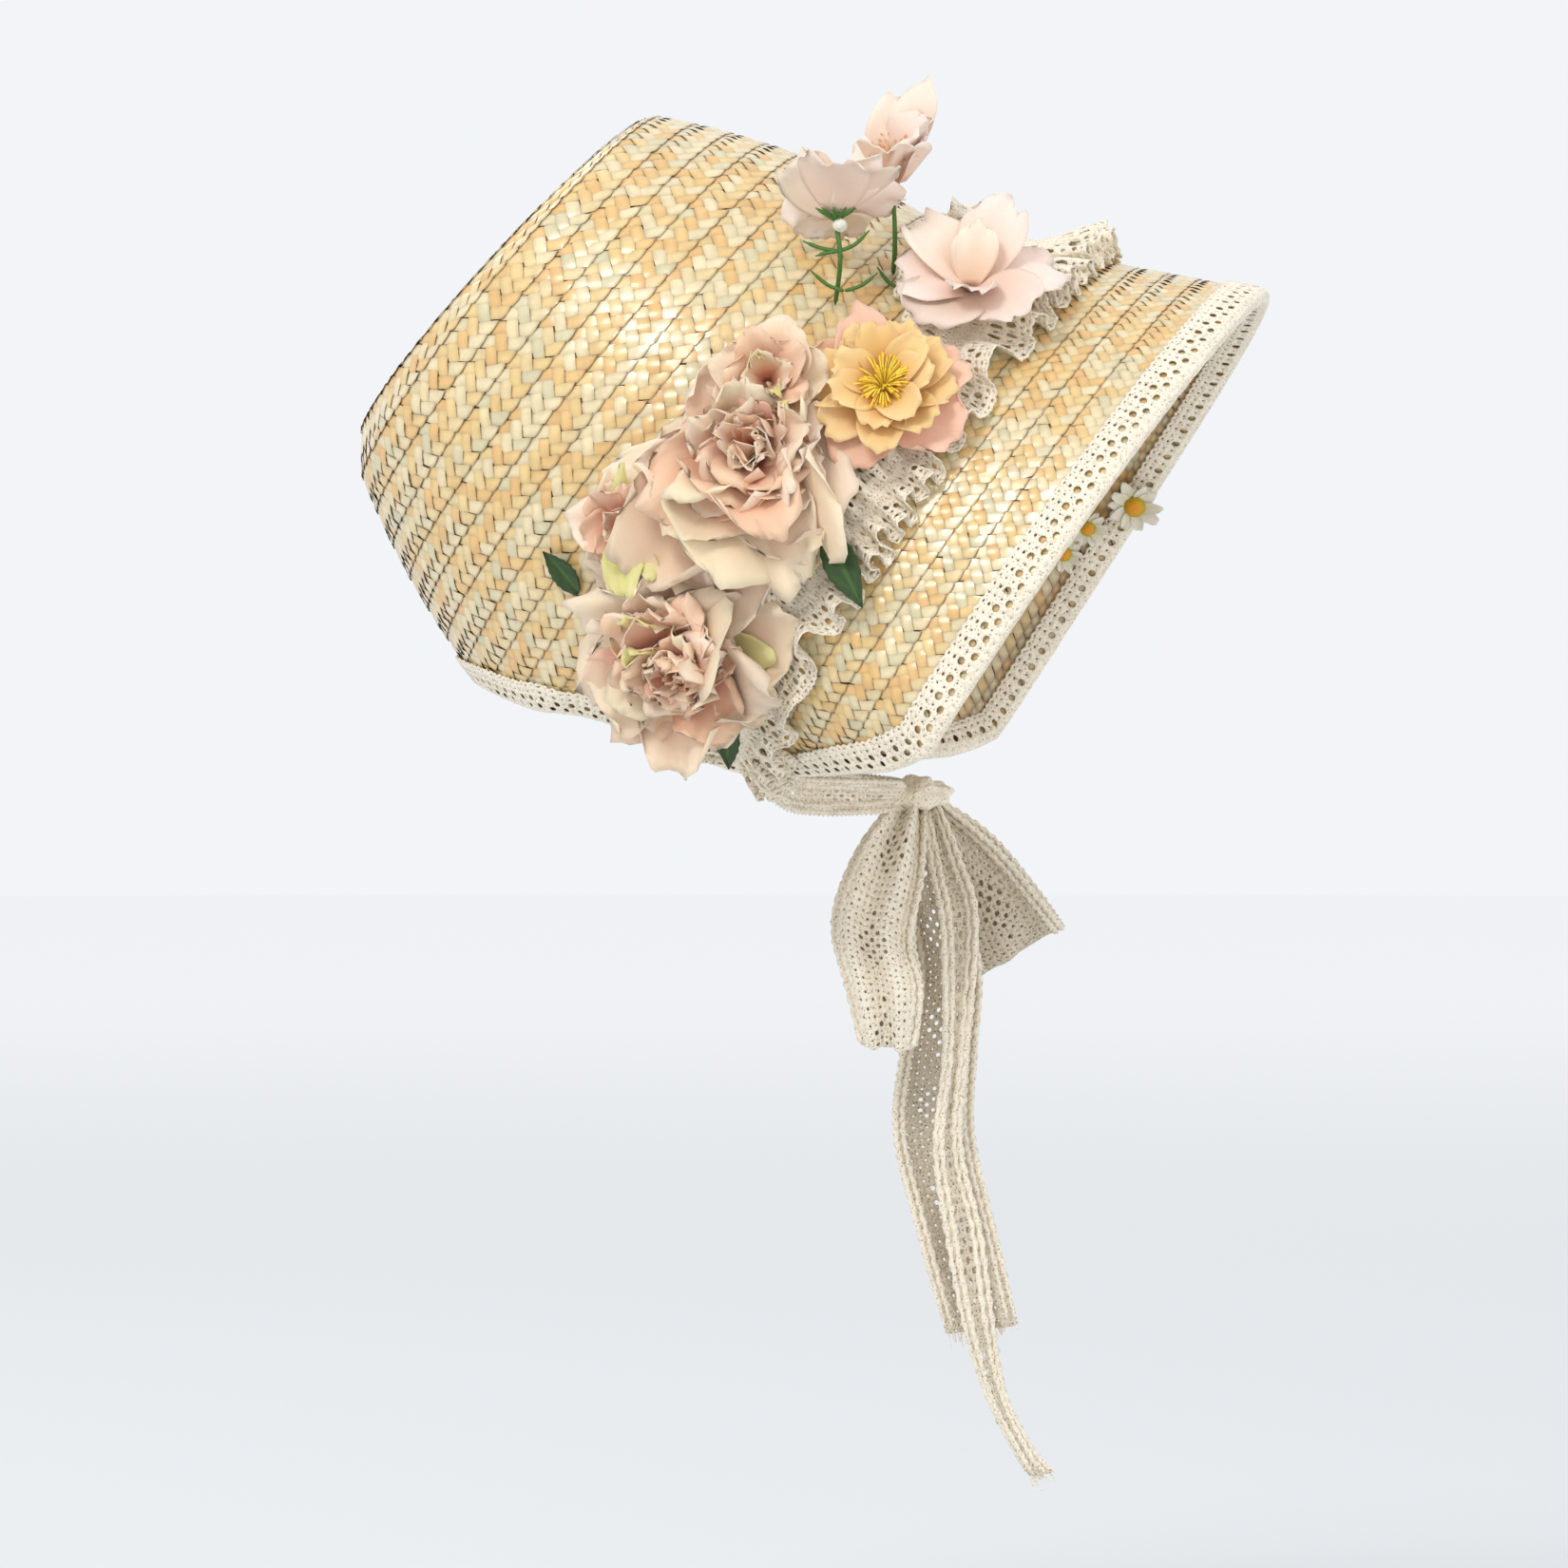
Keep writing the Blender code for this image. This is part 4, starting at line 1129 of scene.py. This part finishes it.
def tubes(name: str, paths: Array, radius: float, tint: Sequence[float], tip: float = 1.0,
          tip_tint: Optional[Sequence[float]] = None, segments: int = 10,
          twist: float = 0.0) -> bpy.types.Mesh:
    """Round threads or stems with closed ends.

    Args:
        name: Name of the mesh.
        paths: Tubes by points by 3 coordinates.
        radius: Radius of each tube.
        tint: Colour.
        tip: Radius near the far end as a share of radius.
        tip_tint: Colour near the far end, or nothing for the same.
        segments: How many pieces each tube has along it.
        twist: Turns of a two-strand twist along each tube, or 0 for a round one.

    Returns:
        The mesh.
    """
    tile = grid_tile(6, segments)
    local = points_of(tile)
    around, down = (local[:, 0] + 0.5) * 2 * math.pi, local[:, 1] + 0.5
    down = down if twist else smooth(down) * 0.3 + down * 0.7
    size = np.sqrt(np.clip(1 - np.abs(2 * down - 1) ** 12, 0, 1))
    if twist:
        size = size * (1 + 0.36 * np.cos(2 * around - 2 * math.pi * twist * down))
    head = smooth((down - 0.72) / 0.12)
    points = []
    for path in paths:
        line = along(path, down)
        ahead = unit(along(path, np.minimum(down + 0.02, 1)) - along(path, np.maximum(down - 0.02, 0)))
        beside = unit(np.cross(ahead, np.array((0.31, 0.17, 0.93))))
        above = np.cross(ahead, beside)
        reach = (radius * size * (1 + (tip - 1) * head))[:, None]
        points.append(line + reach * (np.cos(around)[:, None] * beside + np.sin(around)[:, None] * above))
    tints = mixed(tint, tip_tint or tint, head)
    mesh = laid_out(name, tile, np.array(points), np.broadcast_to(tints, (len(paths), *tints.shape)),
                    weld=SEAM_WELD)
    shape = bmesh.new()
    shape.from_mesh(mesh)
    bmesh.ops.recalc_face_normals(shape, faces=shape.faces[:])
    shape.to_mesh(mesh)
    shape.free()
    return mesh


# Flowers


@dataclass
class PetalRing:
    """A ring of petals round a flower's axis, its lengths in millimetres and angles in degrees.

    rise and fall are how far the petal's foot and tip lean from the axis; cup lifts its sides, frill waves
    its edge, notch cuts its end, and uneven is how much the petals differ.
    """

    count: int
    length: float
    width: float
    rise: float
    fall: float
    cup: float = 0.25
    frill: float = 1.0
    notch: float = 0.0
    foot: float = 1.5
    height: float = 0.0
    turn: float = 0.0
    uneven: float = 1.0
    point: float = 0.2
    drift: tuple[float, float] = (0.0, 0.0)
    root: Colour = srgb(0.80, 0.52, 0.45)
    edge: Colour = srgb(0.93, 0.79, 0.70)

    def petals(self, rng: np.random.Generator, x: Array, y: Array) -> tuple[Array, Array]:
        """Points and tints of the ring's petals in the flower's frame.

        Args:
            rng: Source of the petals' variation.
            x: Place of each of the tile's points across the petal, from -1 to 1.
            y: Place along it, from 0 to 1.

        Returns:
            The petals' points and tints.
        """
        def vary(amount: float) -> Array:
            """One random number for each petal."""
            return rng.normal(0, amount * self.uneven, (self.count, 1))
        azimuth = np.radians(self.turn + np.arange(self.count)[:, None] * 360 / self.count + vary(6))
        length = self.length * MM * (1 + vary(0.07))
        half = self.width * MM / 2 * (1 + vary(0.07))
        rise = np.radians(self.rise + vary(4))
        fall = np.radians(self.fall + vary(9))
        phase, wave = rng.uniform(0, 2 * math.pi, (2, self.count, 1))
        x, y = x[None, :], y[None, :]
        shape = 0.20 + 0.80 * np.sin(math.pi * (0.05 + 0.69 * y ** 0.95))
        lobes = 0.5 - 0.5 * np.cos(8.0 * x + 0.8 * np.sin(phase))
        round_end = 1 - np.sqrt(1 - 0.95 * x ** 2)
        reach = y * (1 - (0.14 + 1.2 * self.point) * round_end * y - self.notch * lobes * y ** 3)
        reach = reach * (1 + 0.04 * np.sin(4 * x + phase) * y)
        bend = fall - rise
        radial = (np.cos(rise) - np.cos(rise + bend * reach)) / bend
        height = (np.sin(rise + bend * reach) - np.sin(rise)) / bend
        lean = rise + bend * reach
        side = x * half * shape
        edge = smooth((np.maximum(np.abs(x), y) - 0.45) / 0.55)
        ripple = np.sin(4.6 * x + phase) + 0.6 * np.sin(6.5 * y + wave) + 0.45 * np.sin(9 * x * y - wave)
        ripple = (ripple + 0.35 * edge ** 2 * np.sin(14 * x + 3 * wave)) * edge * y
        offset = self.cup * half * x ** 2 * shape + self.frill * MM * ripple
        radial = self.foot * MM + length * radial - np.cos(lean) * offset
        height = self.height * MM + length * height + np.sin(lean) * offset
        height = height + side * np.tan(np.radians(vary(9)))
        points = np.stack((radial * np.cos(azimuth) - side * np.sin(azimuth) + self.drift[0] * MM,
                           radial * np.sin(azimuth) + side * np.cos(azimuth) + self.drift[1] * MM,
                           height), -1)
        share = np.clip(y * 0.95 + 0.12 * np.abs(x) + vary(0.08), 0, 1)
        warmth = vary(0.007)
        hue = np.stack((1 - 0.4 * warmth, 1 + 0.6 * warmth, 1 - 2.2 * warmth), -1)
        tint = mixed(self.root, self.edge, smooth(share)) * (1 + vary(0.03))[..., None] * hue
        return points, tint


@dataclass
class Flower:
    """Flower of several rings of silk petals."""

    name: str
    matrix: Matrix
    rings: Sequence[PetalRing]
    slot: Slot
    nodes: Sequence[str] = ()
    seed: int = 1
    squeeze: Sequence[tuple[float, float]] = ()
    clear: float = 2.2 * MM
    finish: PetalFinish = field(default_factory=PetalFinish)

    def build(self) -> bpy.types.Object:
        """Build the petals."""
        rng = np.random.default_rng(self.seed)
        tile = grid_tile(12, 9)
        local = points_of(tile)
        x, y = local[:, 0] * 2, local[:, 1] + 0.5
        made = [ring.petals(rng, x, y) for ring in self.rings]
        points = np.concatenate([petals for petals, _ in made])
        tints = np.concatenate([tint for _, tint in made])
        around = np.arctan2(points[..., 1], points[..., 0])
        for direction, share in self.squeeze:
            facing = np.clip(np.cos(around - math.radians(direction)), 0, 1)
            points[..., :2] *= (1 - (1 - share) * smooth(1.6 * facing - 0.4))[..., None]
        points = in_frame(self.matrix, points)
        if self.clear:
            points = SURFACE.cleared(points, self.clear)
        mesh = laid_out(self.name, tile, points, np.clip(tints, 0, 1))
        return piece(self.name, mesh, self.finish, self.slot, self.nodes, 0.28 * MM)


def heart(name: str, matrix: Matrix, radius: float, height: float, tint: Colour, top: Colour,
          slot: Slot, lift: float = 0.0) -> bpy.types.Object:
    """Domed heart of a flower, covered in small florets.

    Args:
        name: Name of the piece.
        matrix: The flower's frame.
        radius: Radius of the dome.
        height: Its height.
        tint: Colour at its rim.
        top: Colour at its top.
        slot: The record's slot.
        lift: Height of its foot.

    Returns:
        The object.
    """
    tile = grid_tile(36, 14)
    local = points_of(tile)
    around, down = (local[:, 0] + 0.5) * 2 * math.pi, (local[:, 1] + 0.5) * 0.97 * math.pi / 2
    down = np.where(local[:, 1] > 0.49, math.pi / 2, down)
    knobs = 1 + 0.10 * np.sin(9 * around + 14 * down) * np.sin(9 * around - 14 * down) * np.cos(down)
    size = radius * np.cos(down) * knobs
    size = np.where(local[:, 1] > 0.49, 0.0, size)
    points = np.stack((size * np.cos(around), size * np.sin(around),
                       lift + height * np.sin(down) * knobs), -1)
    mesh = laid_out(name, tile, in_frame(matrix, points)[None], mixed(tint, top, np.sin(down) ** 2)[None],
                    weld=SEAM_WELD)
    return piece(name, mesh, MouldedFinish(), slot)


@dataclass
class Spray:
    """Silk flowers, buds and leaves on the bonnet's right side."""

    cream: Colour = srgb(0.96, 0.88, 0.77)
    rose: Colour = srgb(0.83, 0.52, 0.41)
    dusk: Colour = srgb(0.93, 0.74, 0.62)
    peach: Colour = srgb(0.95, 0.81, 0.69)
    lime: Colour = srgb(0.78, 0.79, 0.42)
    lime_pale: Colour = srgb(0.91, 0.88, 0.62)
    apricot: Colour = srgb(0.90, 0.66, 0.31)
    apricot_pale: Colour = srgb(0.97, 0.84, 0.60)
    coral: Colour = srgb(0.96, 0.78, 0.67)
    blush: Colour = srgb(0.97, 0.90, 0.84)
    blush_deep: Colour = srgb(0.94, 0.82, 0.73)
    green: Colour = srgb(0.30, 0.47, 0.19)
    leaf_dark: Colour = srgb(0.17, 0.27, 0.12)
    yellow: Colour = srgb(0.93, 0.74, 0.18)

    def peony(self, name: str, matrix: Matrix, radius: float, node: str, seed: int,
              squeeze: Sequence[tuple[float, float]], heart_at: tuple[float, float],
              accents: Sequence[PetalRing]) -> None:
        """Full peony whose rings of ruffled petals drift towards an off-centre heart.

        Args:
            name: Name of the piece.
            matrix: The flower's frame.
            radius: Its radius.
            node: The CAD node it replaces.
            seed: Seed of its petals' variation.
            squeeze: Directions in degrees, each with the share that it is cut to.
            heart_at: Offset of its heart in millimetres.
            accents: Single petals of another colour.
        """
        r = radius / MM
        table = ((8, 1.03, 1.00, 66, 106, 0.14, 3.2, 0.5, self.dusk, self.cream),
                 (9, 1.00, 0.90, 58, 98, 0.18, 3.8, 4.0, self.dusk, self.cream),
                 (9, 0.90, 0.80, 49, 92, 0.24, 4.2, 8.0, self.rose, self.cream),
                 (9, 0.78, 0.70, 39, 88, 0.28, 4.2, 12.0, self.rose, self.peach),
                 (8, 0.66, 0.60, 27, 80, 0.32, 4.2, 15.0, self.rose, self.cream),
                 (7, 0.54, 0.52, 15, 66, 0.38, 3.8, 17.0, self.rose, self.peach),
                 (6, 0.42, 0.42, 6, 50, 0.44, 3.2, 20.0, self.rose, self.cream),
                 (4, 0.32, 0.28, 2, 36, 0.50, 2.6, 22.0, self.rose, self.peach))
        rings = [PetalRing(count, length * r, width * r, rise, fall, cup, frill, 0.05, 2.5, height,
                           37.0 * number, 1.9, 0.30,
                           (heart_at[0] * number / 7, heart_at[1] * number / 7), root, edge)
                 for number, (count, length, width, rise, fall, cup, frill, height, root, edge)
                 in enumerate(table)]
        Flower(name, matrix, [*rings, *accents], Slot.PEONY, (node,), seed, squeeze).build()

    def peonies(self) -> None:
        """The two peonies, the petals between them and the bud above."""
        lime = dict(root=self.lime, edge=self.lime_pale, frill=2.0)
        self.peony("peony_top", SURFACE.seat(9.8, -83, 0.7 * MM), 0.0535, "peony_upper", 5,
                   [(160, 0.80), (236, 0.66)], (-8.0, 3.0),
                   (PetalRing(1, 30, 15, 14, 44, turn=168, height=12, foot=17, **lime),
                    PetalRing(1, 52, 32, 64, 98, turn=68, height=2, root=self.peach, edge=self.lime_pale)))
        self.peony("peony_bottom", SURFACE.seat(11.35, -111, 0.7 * MM), 0.0415, "peony_lower", 9,
                   [(199, 0.86)], (-1.5, 7.0),
                   (PetalRing(1, 27, 19, 20, 66, turn=236, height=15, foot=11, **lime),
                    PetalRing(1, 19, 13, 14, 50, turn=250, height=22, foot=2, **lime),
                    PetalRing(1, 42, 24, 62, 94, turn=128, height=2, root=self.peach, edge=self.lime_pale)))
        cluster = SURFACE.seat(8.0, -102.5, 6.0 * MM)
        Flower("loose_petals", cluster, (
            PetalRing(7, 23, 21, 56, 92, root=self.dusk, edge=self.cream, frill=2.0, uneven=1.6),
            PetalRing(6, 19, 17, 38, 76, root=self.rose, edge=self.peach, frill=2.2, turn=25, height=2),
            PetalRing(4, 13, 12, 14, 48, root=self.rose, edge=self.cream, frill=1.8, height=4),
            PetalRing(1, 28, 16, 40, 78, turn=50, height=5, **lime),
            PetalRing(1, 26, 13, 46, 84, turn=84, height=3, **lime),
            PetalRing(1, 25, 11, 52, 86, turn=215, height=2, **lime)),
            Slot.LIME, ("petal_cluster",), 12).build()
        bud = SURFACE.seat(8.65, -71.5, 14.0 * MM, (0.10, 0.10, -0.1))
        Flower("pink_bud", bud, (
            PetalRing(5, 25, 25, 44, 80, root=self.dusk, edge=self.cream, frill=2.0, height=1),
            PetalRing(5, 23, 20, 28, 62, 0.36, root=self.rose, edge=self.peach, frill=1.6, turn=30,
                      height=3),
            PetalRing(4, 17, 14, 14, 44, 0.44, root=self.rose, edge=self.cream, frill=1.4, turn=60,
                      height=4),
            PetalRing(2, 18, 8, 6, 30, turn=70, height=5, foot=4, **lime)),
            Slot.PEONY, ("rose_bud",), 14).build()

    def dahlia(self) -> None:
        """Apricot flower with yellow stamens and coral petals behind it."""
        matrix = SURFACE.seat(11.8, -61.0, 0.6 * MM, (-0.2, 0.0, 0.0))
        Flower("apricot_flower", matrix, (
            PetalRing(5, 37, 29, 64, 96, 0.16, 1.4, 0.06, height=9, turn=10, root=self.coral,
                      edge=self.coral),
            PetalRing(9, 28, 19, 58, 84, 0.30, 1.0, 0.06, height=12, point=0.02, root=self.apricot,
                      edge=self.apricot_pale),
            PetalRing(7, 25, 17, 40, 70, 0.36, 1.0, 0.06, height=13, turn=22, point=0.02, root=self.apricot,
                      edge=self.apricot_pale)),
            Slot.APRICOT, ("dahlia",), 21).build()
        heart("apricot_heart", matrix, 3.6 * MM, 2.6 * MM, self.green, srgb(0.80, 0.70, 0.2), Slot.APRICOT,
              13.5 * MM)
        self.stamens("apricot_stamens", matrix, 90, 14.0, 14.0, 11.0, Slot.APRICOT)

    def stamens(self, name: str, matrix: Matrix, count: int, reach: float, foot: float, spread: float,
                slot: Slot, tint: Colour = srgb(0.99, 0.88, 0.36),
                tip_tint: Colour = srgb(0.97, 0.80, 0.20)) -> None:
        """Tuft of fine filaments with darker tips.

        Args:
            name: Name of the piece.
            matrix: The flower's frame.
            count: How many filaments.
            reach: Their length in millimetres.
            foot: Height of their feet in millimetres.
            spread: How far the outer tips lean out, in millimetres.
            slot: The record's slot.
            tint: Colour of the filaments.
            tip_tint: Colour of their tips.
        """
        rng = np.random.default_rng(count)
        turn = rng.uniform(0, 2 * math.pi, count)
        share = np.sqrt(rng.uniform(0.05, 1, count))
        ray = np.stack((np.cos(turn), np.sin(turn), np.zeros(count)), -1)
        up = np.array((0.0, 0.0, 1.0))
        tall = reach * MM * rng.uniform(0.75, 1.0, (count, 1))
        start = ray * share[:, None] * 2.4 * MM + up * foot * MM
        middle = start + up * tall * 0.6 + ray * share[:, None] * spread * MM * 0.35
        tip = start + up * tall * (1 - 0.35 * share[:, None]) + ray * share[:, None] * spread * MM
        paths = np.stack((start, middle, tip), 1)
        paths = in_frame(matrix, paths.reshape(-1, 3)).reshape(paths.shape)
        mesh = tubes(name, paths, 0.30 * MM, tint, 1.5, tip_tint)
        piece(name, mesh, MouldedFinish(), slot)

    def cosmos(self) -> None:
        """Three blush flowers over the crown, two of them on green stems."""
        first = standing((-0.078, -0.0192, -0.0003), (-0.62, -0.10, 0.9))
        ring = dict(root=self.blush_deep, edge=self.blush, notch=0.07, frill=1.6, uneven=1.5, point=0.04)
        Flower("blush_flower_1", first, (
            *(PetalRing(1, 35, 27, 14, 54, 0.30, foot=1.2, height=0.5, turn=turn, **ring)
              for turn in (5, 58, 112, 170)),
            PetalRing(1, 27, 22, 52, 118, 0.20, foot=1.0, height=0.5, turn=222, **ring),
            PetalRing(1, 20, 20, 62, 140, 0.20, foot=1.0, height=0.5, turn=292, **ring)),
            Slot.BLUSH, ("cosmos_1",), 31).build()
        self.stamens("blush_stamens_1", first, 24, 22.0, 2.0, 9.0, Slot.BLUSH, srgb(0.93, 0.80, 0.66),
                     srgb(0.84, 0.62, 0.46))
        second = standing((-0.104, 0.0006, -0.0135), (0.62, 0.05, 0.9))
        Flower("blush_flower_2", second, (
            PetalRing(6, 28, 25, 54, 86, 0.16, foot=1.2, height=0.6, **ring),),
            Slot.BLUSH, ("cosmos_2",), 33).build()
        pale = srgb(0.94, 0.93, 0.86)
        heart("calyx_knob_2", standing((-0.1050, -0.0016, -0.0175), (-0.8, -0.2, 0.5)), 2.6 * MM, 3.2 * MM,
              pale, pale, Slot.STEM)
        third = SURFACE.seat(11.7, -36.5, 9.2 * MM, (-0.45, -0.1, 0.1))
        Flower("blush_flower_3", third, (
            PetalRing(6, 37, 28, 52, 102, 0.18, foot=1.2, height=0.6, **ring),
            PetalRing(2, 26, 20, 30, 62, 0.26, foot=1.0, height=1.2, turn=30, **ring)),
            Slot.BLUSH, ("cosmos_3",), 35).build()
        self.greenery()

    def greenery(self) -> None:
        """Stems, sepals and thin leaves of the blush flowers."""
        root_1 = SURFACE.shell(np.array(8.9), np.radians(-36), np.array(0.0008))
        root_2 = SURFACE.shell(np.array(8.3), np.radians(-50), np.array(0.0008))
        for name, node, path in (
                ("green_stem_1", "stem_1", (root_1, (-0.080, -0.0200, -0.022), (-0.078, -0.0190, -0.0008))),
                ("green_stem_2", "stem_2", (root_2, (-0.103, -0.0015, -0.030), (-0.1040, 0.0004, -0.0140)))):
            mesh = tubes(name, np.array([path]), 0.95 * MM, self.green)
            piece(name, mesh, MouldedFinish(), Slot.STEM, (node,))
        thin = []
        for start, ways in (((-0.1035, -0.001, -0.027), ((0.014, 0.004), (-0.012, 0.008), (0.009, -0.002))),
                            ((-0.1025, -0.003, -0.042), ((-0.013, 0.007), (0.013, 0.008))),
                            ((-0.079, -0.021, -0.040), ((0.008, 0.008), (-0.009, 0.007)))):
            for ahead, up in ways:
                start_point = np.array(start)
                thin.append([start_point, start_point + (0, ahead * 0.5, up * 0.3),
                             start_point + (-0.001, ahead, up)])
        sepals = []
        for centre, size, lean in (((-0.1045, 0.0000, -0.0155), 8.0, 0.6),
                                   ((-0.078, -0.019, -0.0010), 3.6, 0.9)):
            for turn in np.radians(np.arange(0, 360, 36)):
                ray = np.array((math.cos(turn), math.sin(turn), lean)) * size * MM
                sepals.append([np.array(centre), np.array(centre) + ray * 0.5, np.array(centre) + ray])
        mesh = tubes("sepals_and_leaves", np.array(thin + sepals), 0.75 * MM, self.green, 0.5)
        piece("sepals_and_leaves", mesh, MouldedFinish(), Slot.STEM)

    def leaves(self) -> None:
        """Dark leaves at the rim of the flowers."""
        for name, node, row, angle, heading, length, width, lift in (
                ("dark_leaf_back", "leaf_back", 7.9, -119.5, 168, 0.020, 0.010, 0.0016),
                ("dark_leaf_front", "leaf_front", 13.05, -83.4, -20, 0.033, 0.012, 0.0140),
                ("dark_leaf_low", "leaf_low", 13.35, -111.0, -65, 0.026, 0.014, 0.0180)):
            tile = grid_tile(8, 14)
            local = points_of(tile)
            side, down = local[:, 0] * 2, local[:, 1] + 0.5
            by_row, by_angle = (float(np.linalg.norm(v)) for v in
                                SURFACE.slopes(np.array(float(row)), np.array(math.radians(angle))))
            cos, sin = math.cos(math.radians(heading)), math.sin(math.radians(heading))
            half = np.sin(math.pi * (0.04 + 0.96 * down ** 0.85)).clip(0.02) * width / 2
            half = half * (1 + 0.10 * np.abs(np.sin(22 * down)))
            forward, beside = down * length, side * half
            points = SURFACE.shell(row + (forward * cos - beside * sin) / by_row,
                                   math.radians(angle) + (forward * sin + beside * cos) / by_angle,
                                   lift + 0.004 * down ** 2 + 0.0016 * np.abs(side) * (1 - down * 0.5))
            branches = np.maximum(0, np.sin(16 * (down + 0.5 * np.abs(side))))
            vein = np.exp(-(side / 0.10) ** 2) + 0.35 * branches
            tint = mixed(self.leaf_dark, self.green, np.clip(vein, 0, 1) * 0.6)
            mesh = laid_out(name, tile, points[None], tint[None])
            piece(name, mesh, PetalFinish("silk_leaf", 4.0), Slot.LEAF, (node,), 0.4 * MM)

    def daisies(self) -> None:
        """Small daisies inside the brim, on the bonnet's left side."""
        white = srgb(0.93, 0.91, 0.84)
        for number, (row, angle) in enumerate([(18.7, 56.0), (17.8, 63.0), (17.6, 68.6)], start=1):
            row, angle = np.array(row), np.array(math.radians(angle))
            point = SURFACE.shell(row, angle, np.array(-SURFACE.wall - 5.2 * MM))
            matrix = standing(point, -SURFACE.out(row, angle), (0, -1, 0.3))
            size = 10.5 if number == 1 else 7.2
            Flower(f"white_daisy_{number}", matrix, (
                PetalRing(10, size, size * 0.52, 62, 84, 0.2, 0.25, height=1.6, foot=1.0, uneven=0.8,
                          point=0.2, root=srgb(0.88, 0.85, 0.70), edge=white),),
                Slot.DAISY, (f"daisy_{number}",), 40 + number, clear=0.0).build()
            heart(f"daisy_heart_{number}", matrix, size * 0.44 * MM, size * 0.34 * MM,
                  srgb(0.78, 0.70, 0.15), srgb(0.92, 0.60, 0.10), Slot.DAISY, 2.2 * MM)

    def build(self) -> None:
        """Build the whole spray."""
        self.peonies()
        self.dahlia()
        self.cosmos()
        self.leaves()
        self.daisies()


# Stage


@dataclass
class Studio:
    """Camera, soft lights and a pale floor."""

    target: tuple[float, float, float] = (0.0, 0.0312, -0.2307)
    distance: float = 3.5
    azimuth: float = math.radians(6.3)
    elevation: float = math.radians(1.5)
    lens: float = 206.4
    floor: float = -0.62

    def camera(self) -> None:
        """Camera at the photograph's angle to the bonnet."""
        back = Vector((-math.cos(self.elevation) * math.cos(self.azimuth),
                       -math.cos(self.elevation) * math.sin(self.azimuth), math.sin(self.elevation)))
        data = bpy.data.cameras.new("camera")
        data.lens, data.sensor_width, data.clip_end = self.lens, 36.0, 100.0
        made = linked("camera", data)
        made.location = Vector(self.target) + back * self.distance
        made.rotation_euler = back.to_track_quat("Z", "Y").to_euler()
        bpy.context.scene.camera = made

    def paper(self) -> None:
        """Round floor that reaches past the view."""
        sweep = bmesh.new()
        bmesh.ops.create_circle(sweep, segments=96, radius=9.0, cap_ends=True)
        bmesh.ops.translate(sweep, verts=sweep.verts[:], vec=(0, 0, self.floor))
        made = linked("floor", finished(sweep, "floor"))
        made.data.materials.append(StageFinish().material())

    def light(self, name: str, place: Sequence[float], size: float, power: float,
              colour: Colour = (1.0, 1.0, 1.0)) -> None:
        """Square soft light aimed at the bonnet."""
        data = bpy.data.lights.new(name, "AREA")
        data.size, data.energy, data.color = size, power, colour
        made = linked(name, data)
        made.location = place
        made.rotation_euler = (Vector(place) - Vector(self.target)).to_track_quat("Z", "Y").to_euler()

    def build(self) -> None:
        """Build the camera, the lights, the sky and the floor."""
        bpy.context.scene.view_settings.view_transform = "Standard"
        self.camera()
        self.paper()
        self.light("key", (-1.9, 0.7, 1.5), 0.7, 22.0, (1.0, 0.985, 0.96))
        self.light("fill", (-1.6, -2.2, 0.5), 1.4, 7.0, (0.97, 0.98, 1.0))
        self.light("rim", (1.4, 1.2, 1.6), 1.2, 8.0)
        world = bpy.data.worlds.new("studio")
        world.use_nodes = True
        sky = world.node_tree.nodes["Background"]
        sky.inputs["Color"].default_value = (*srgb(0.972, 0.982, 0.995), 1.0)
        sky.inputs["Strength"].default_value = 0.95
        bpy.context.scene.world = world


def dress_cad() -> None:
    """Give the CAD nodes that stay their straw."""
    for name in ("crown_side", "crown_tip", "brim"):
        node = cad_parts[name]
        node.data.materials.clear()
        node.data.materials.append(PlainStrawFinish().material())


def main() -> None:
    """Build the bonnet piece by piece."""
    logging.basicConfig(level=logging.INFO, format="%(name)s: %(message)s")
    Studio().build()
    dress_cad()
    for braid in (Braid("crown_braid", -1, 9), Braid("brim_braid", 9, 19, seed=4), TipBraid(),
                  Braid("crown_lining_braid", 0, 9, Face.INSIDE, seed=6, detail=(2, 2)),
                  Braid("brim_lining_braid", 9, 19, Face.INSIDE, seed=7, detail=(2, 2))):
        LOG.info("%s has %d points", braid.name, len(braid.build().data.vertices))
    Edging().build()
    nape = Edging("nape_lace", 112, nodes=("nape_edging",), front=False)
    nape.build()
    Ruffle().build()
    LOG.info("lace trim laid")
    Bow().build()
    LOG.info("ties and bow hung")
    Spray().build()
    LOG.info("flowers set")


if __name__ == "__main__":
    main()
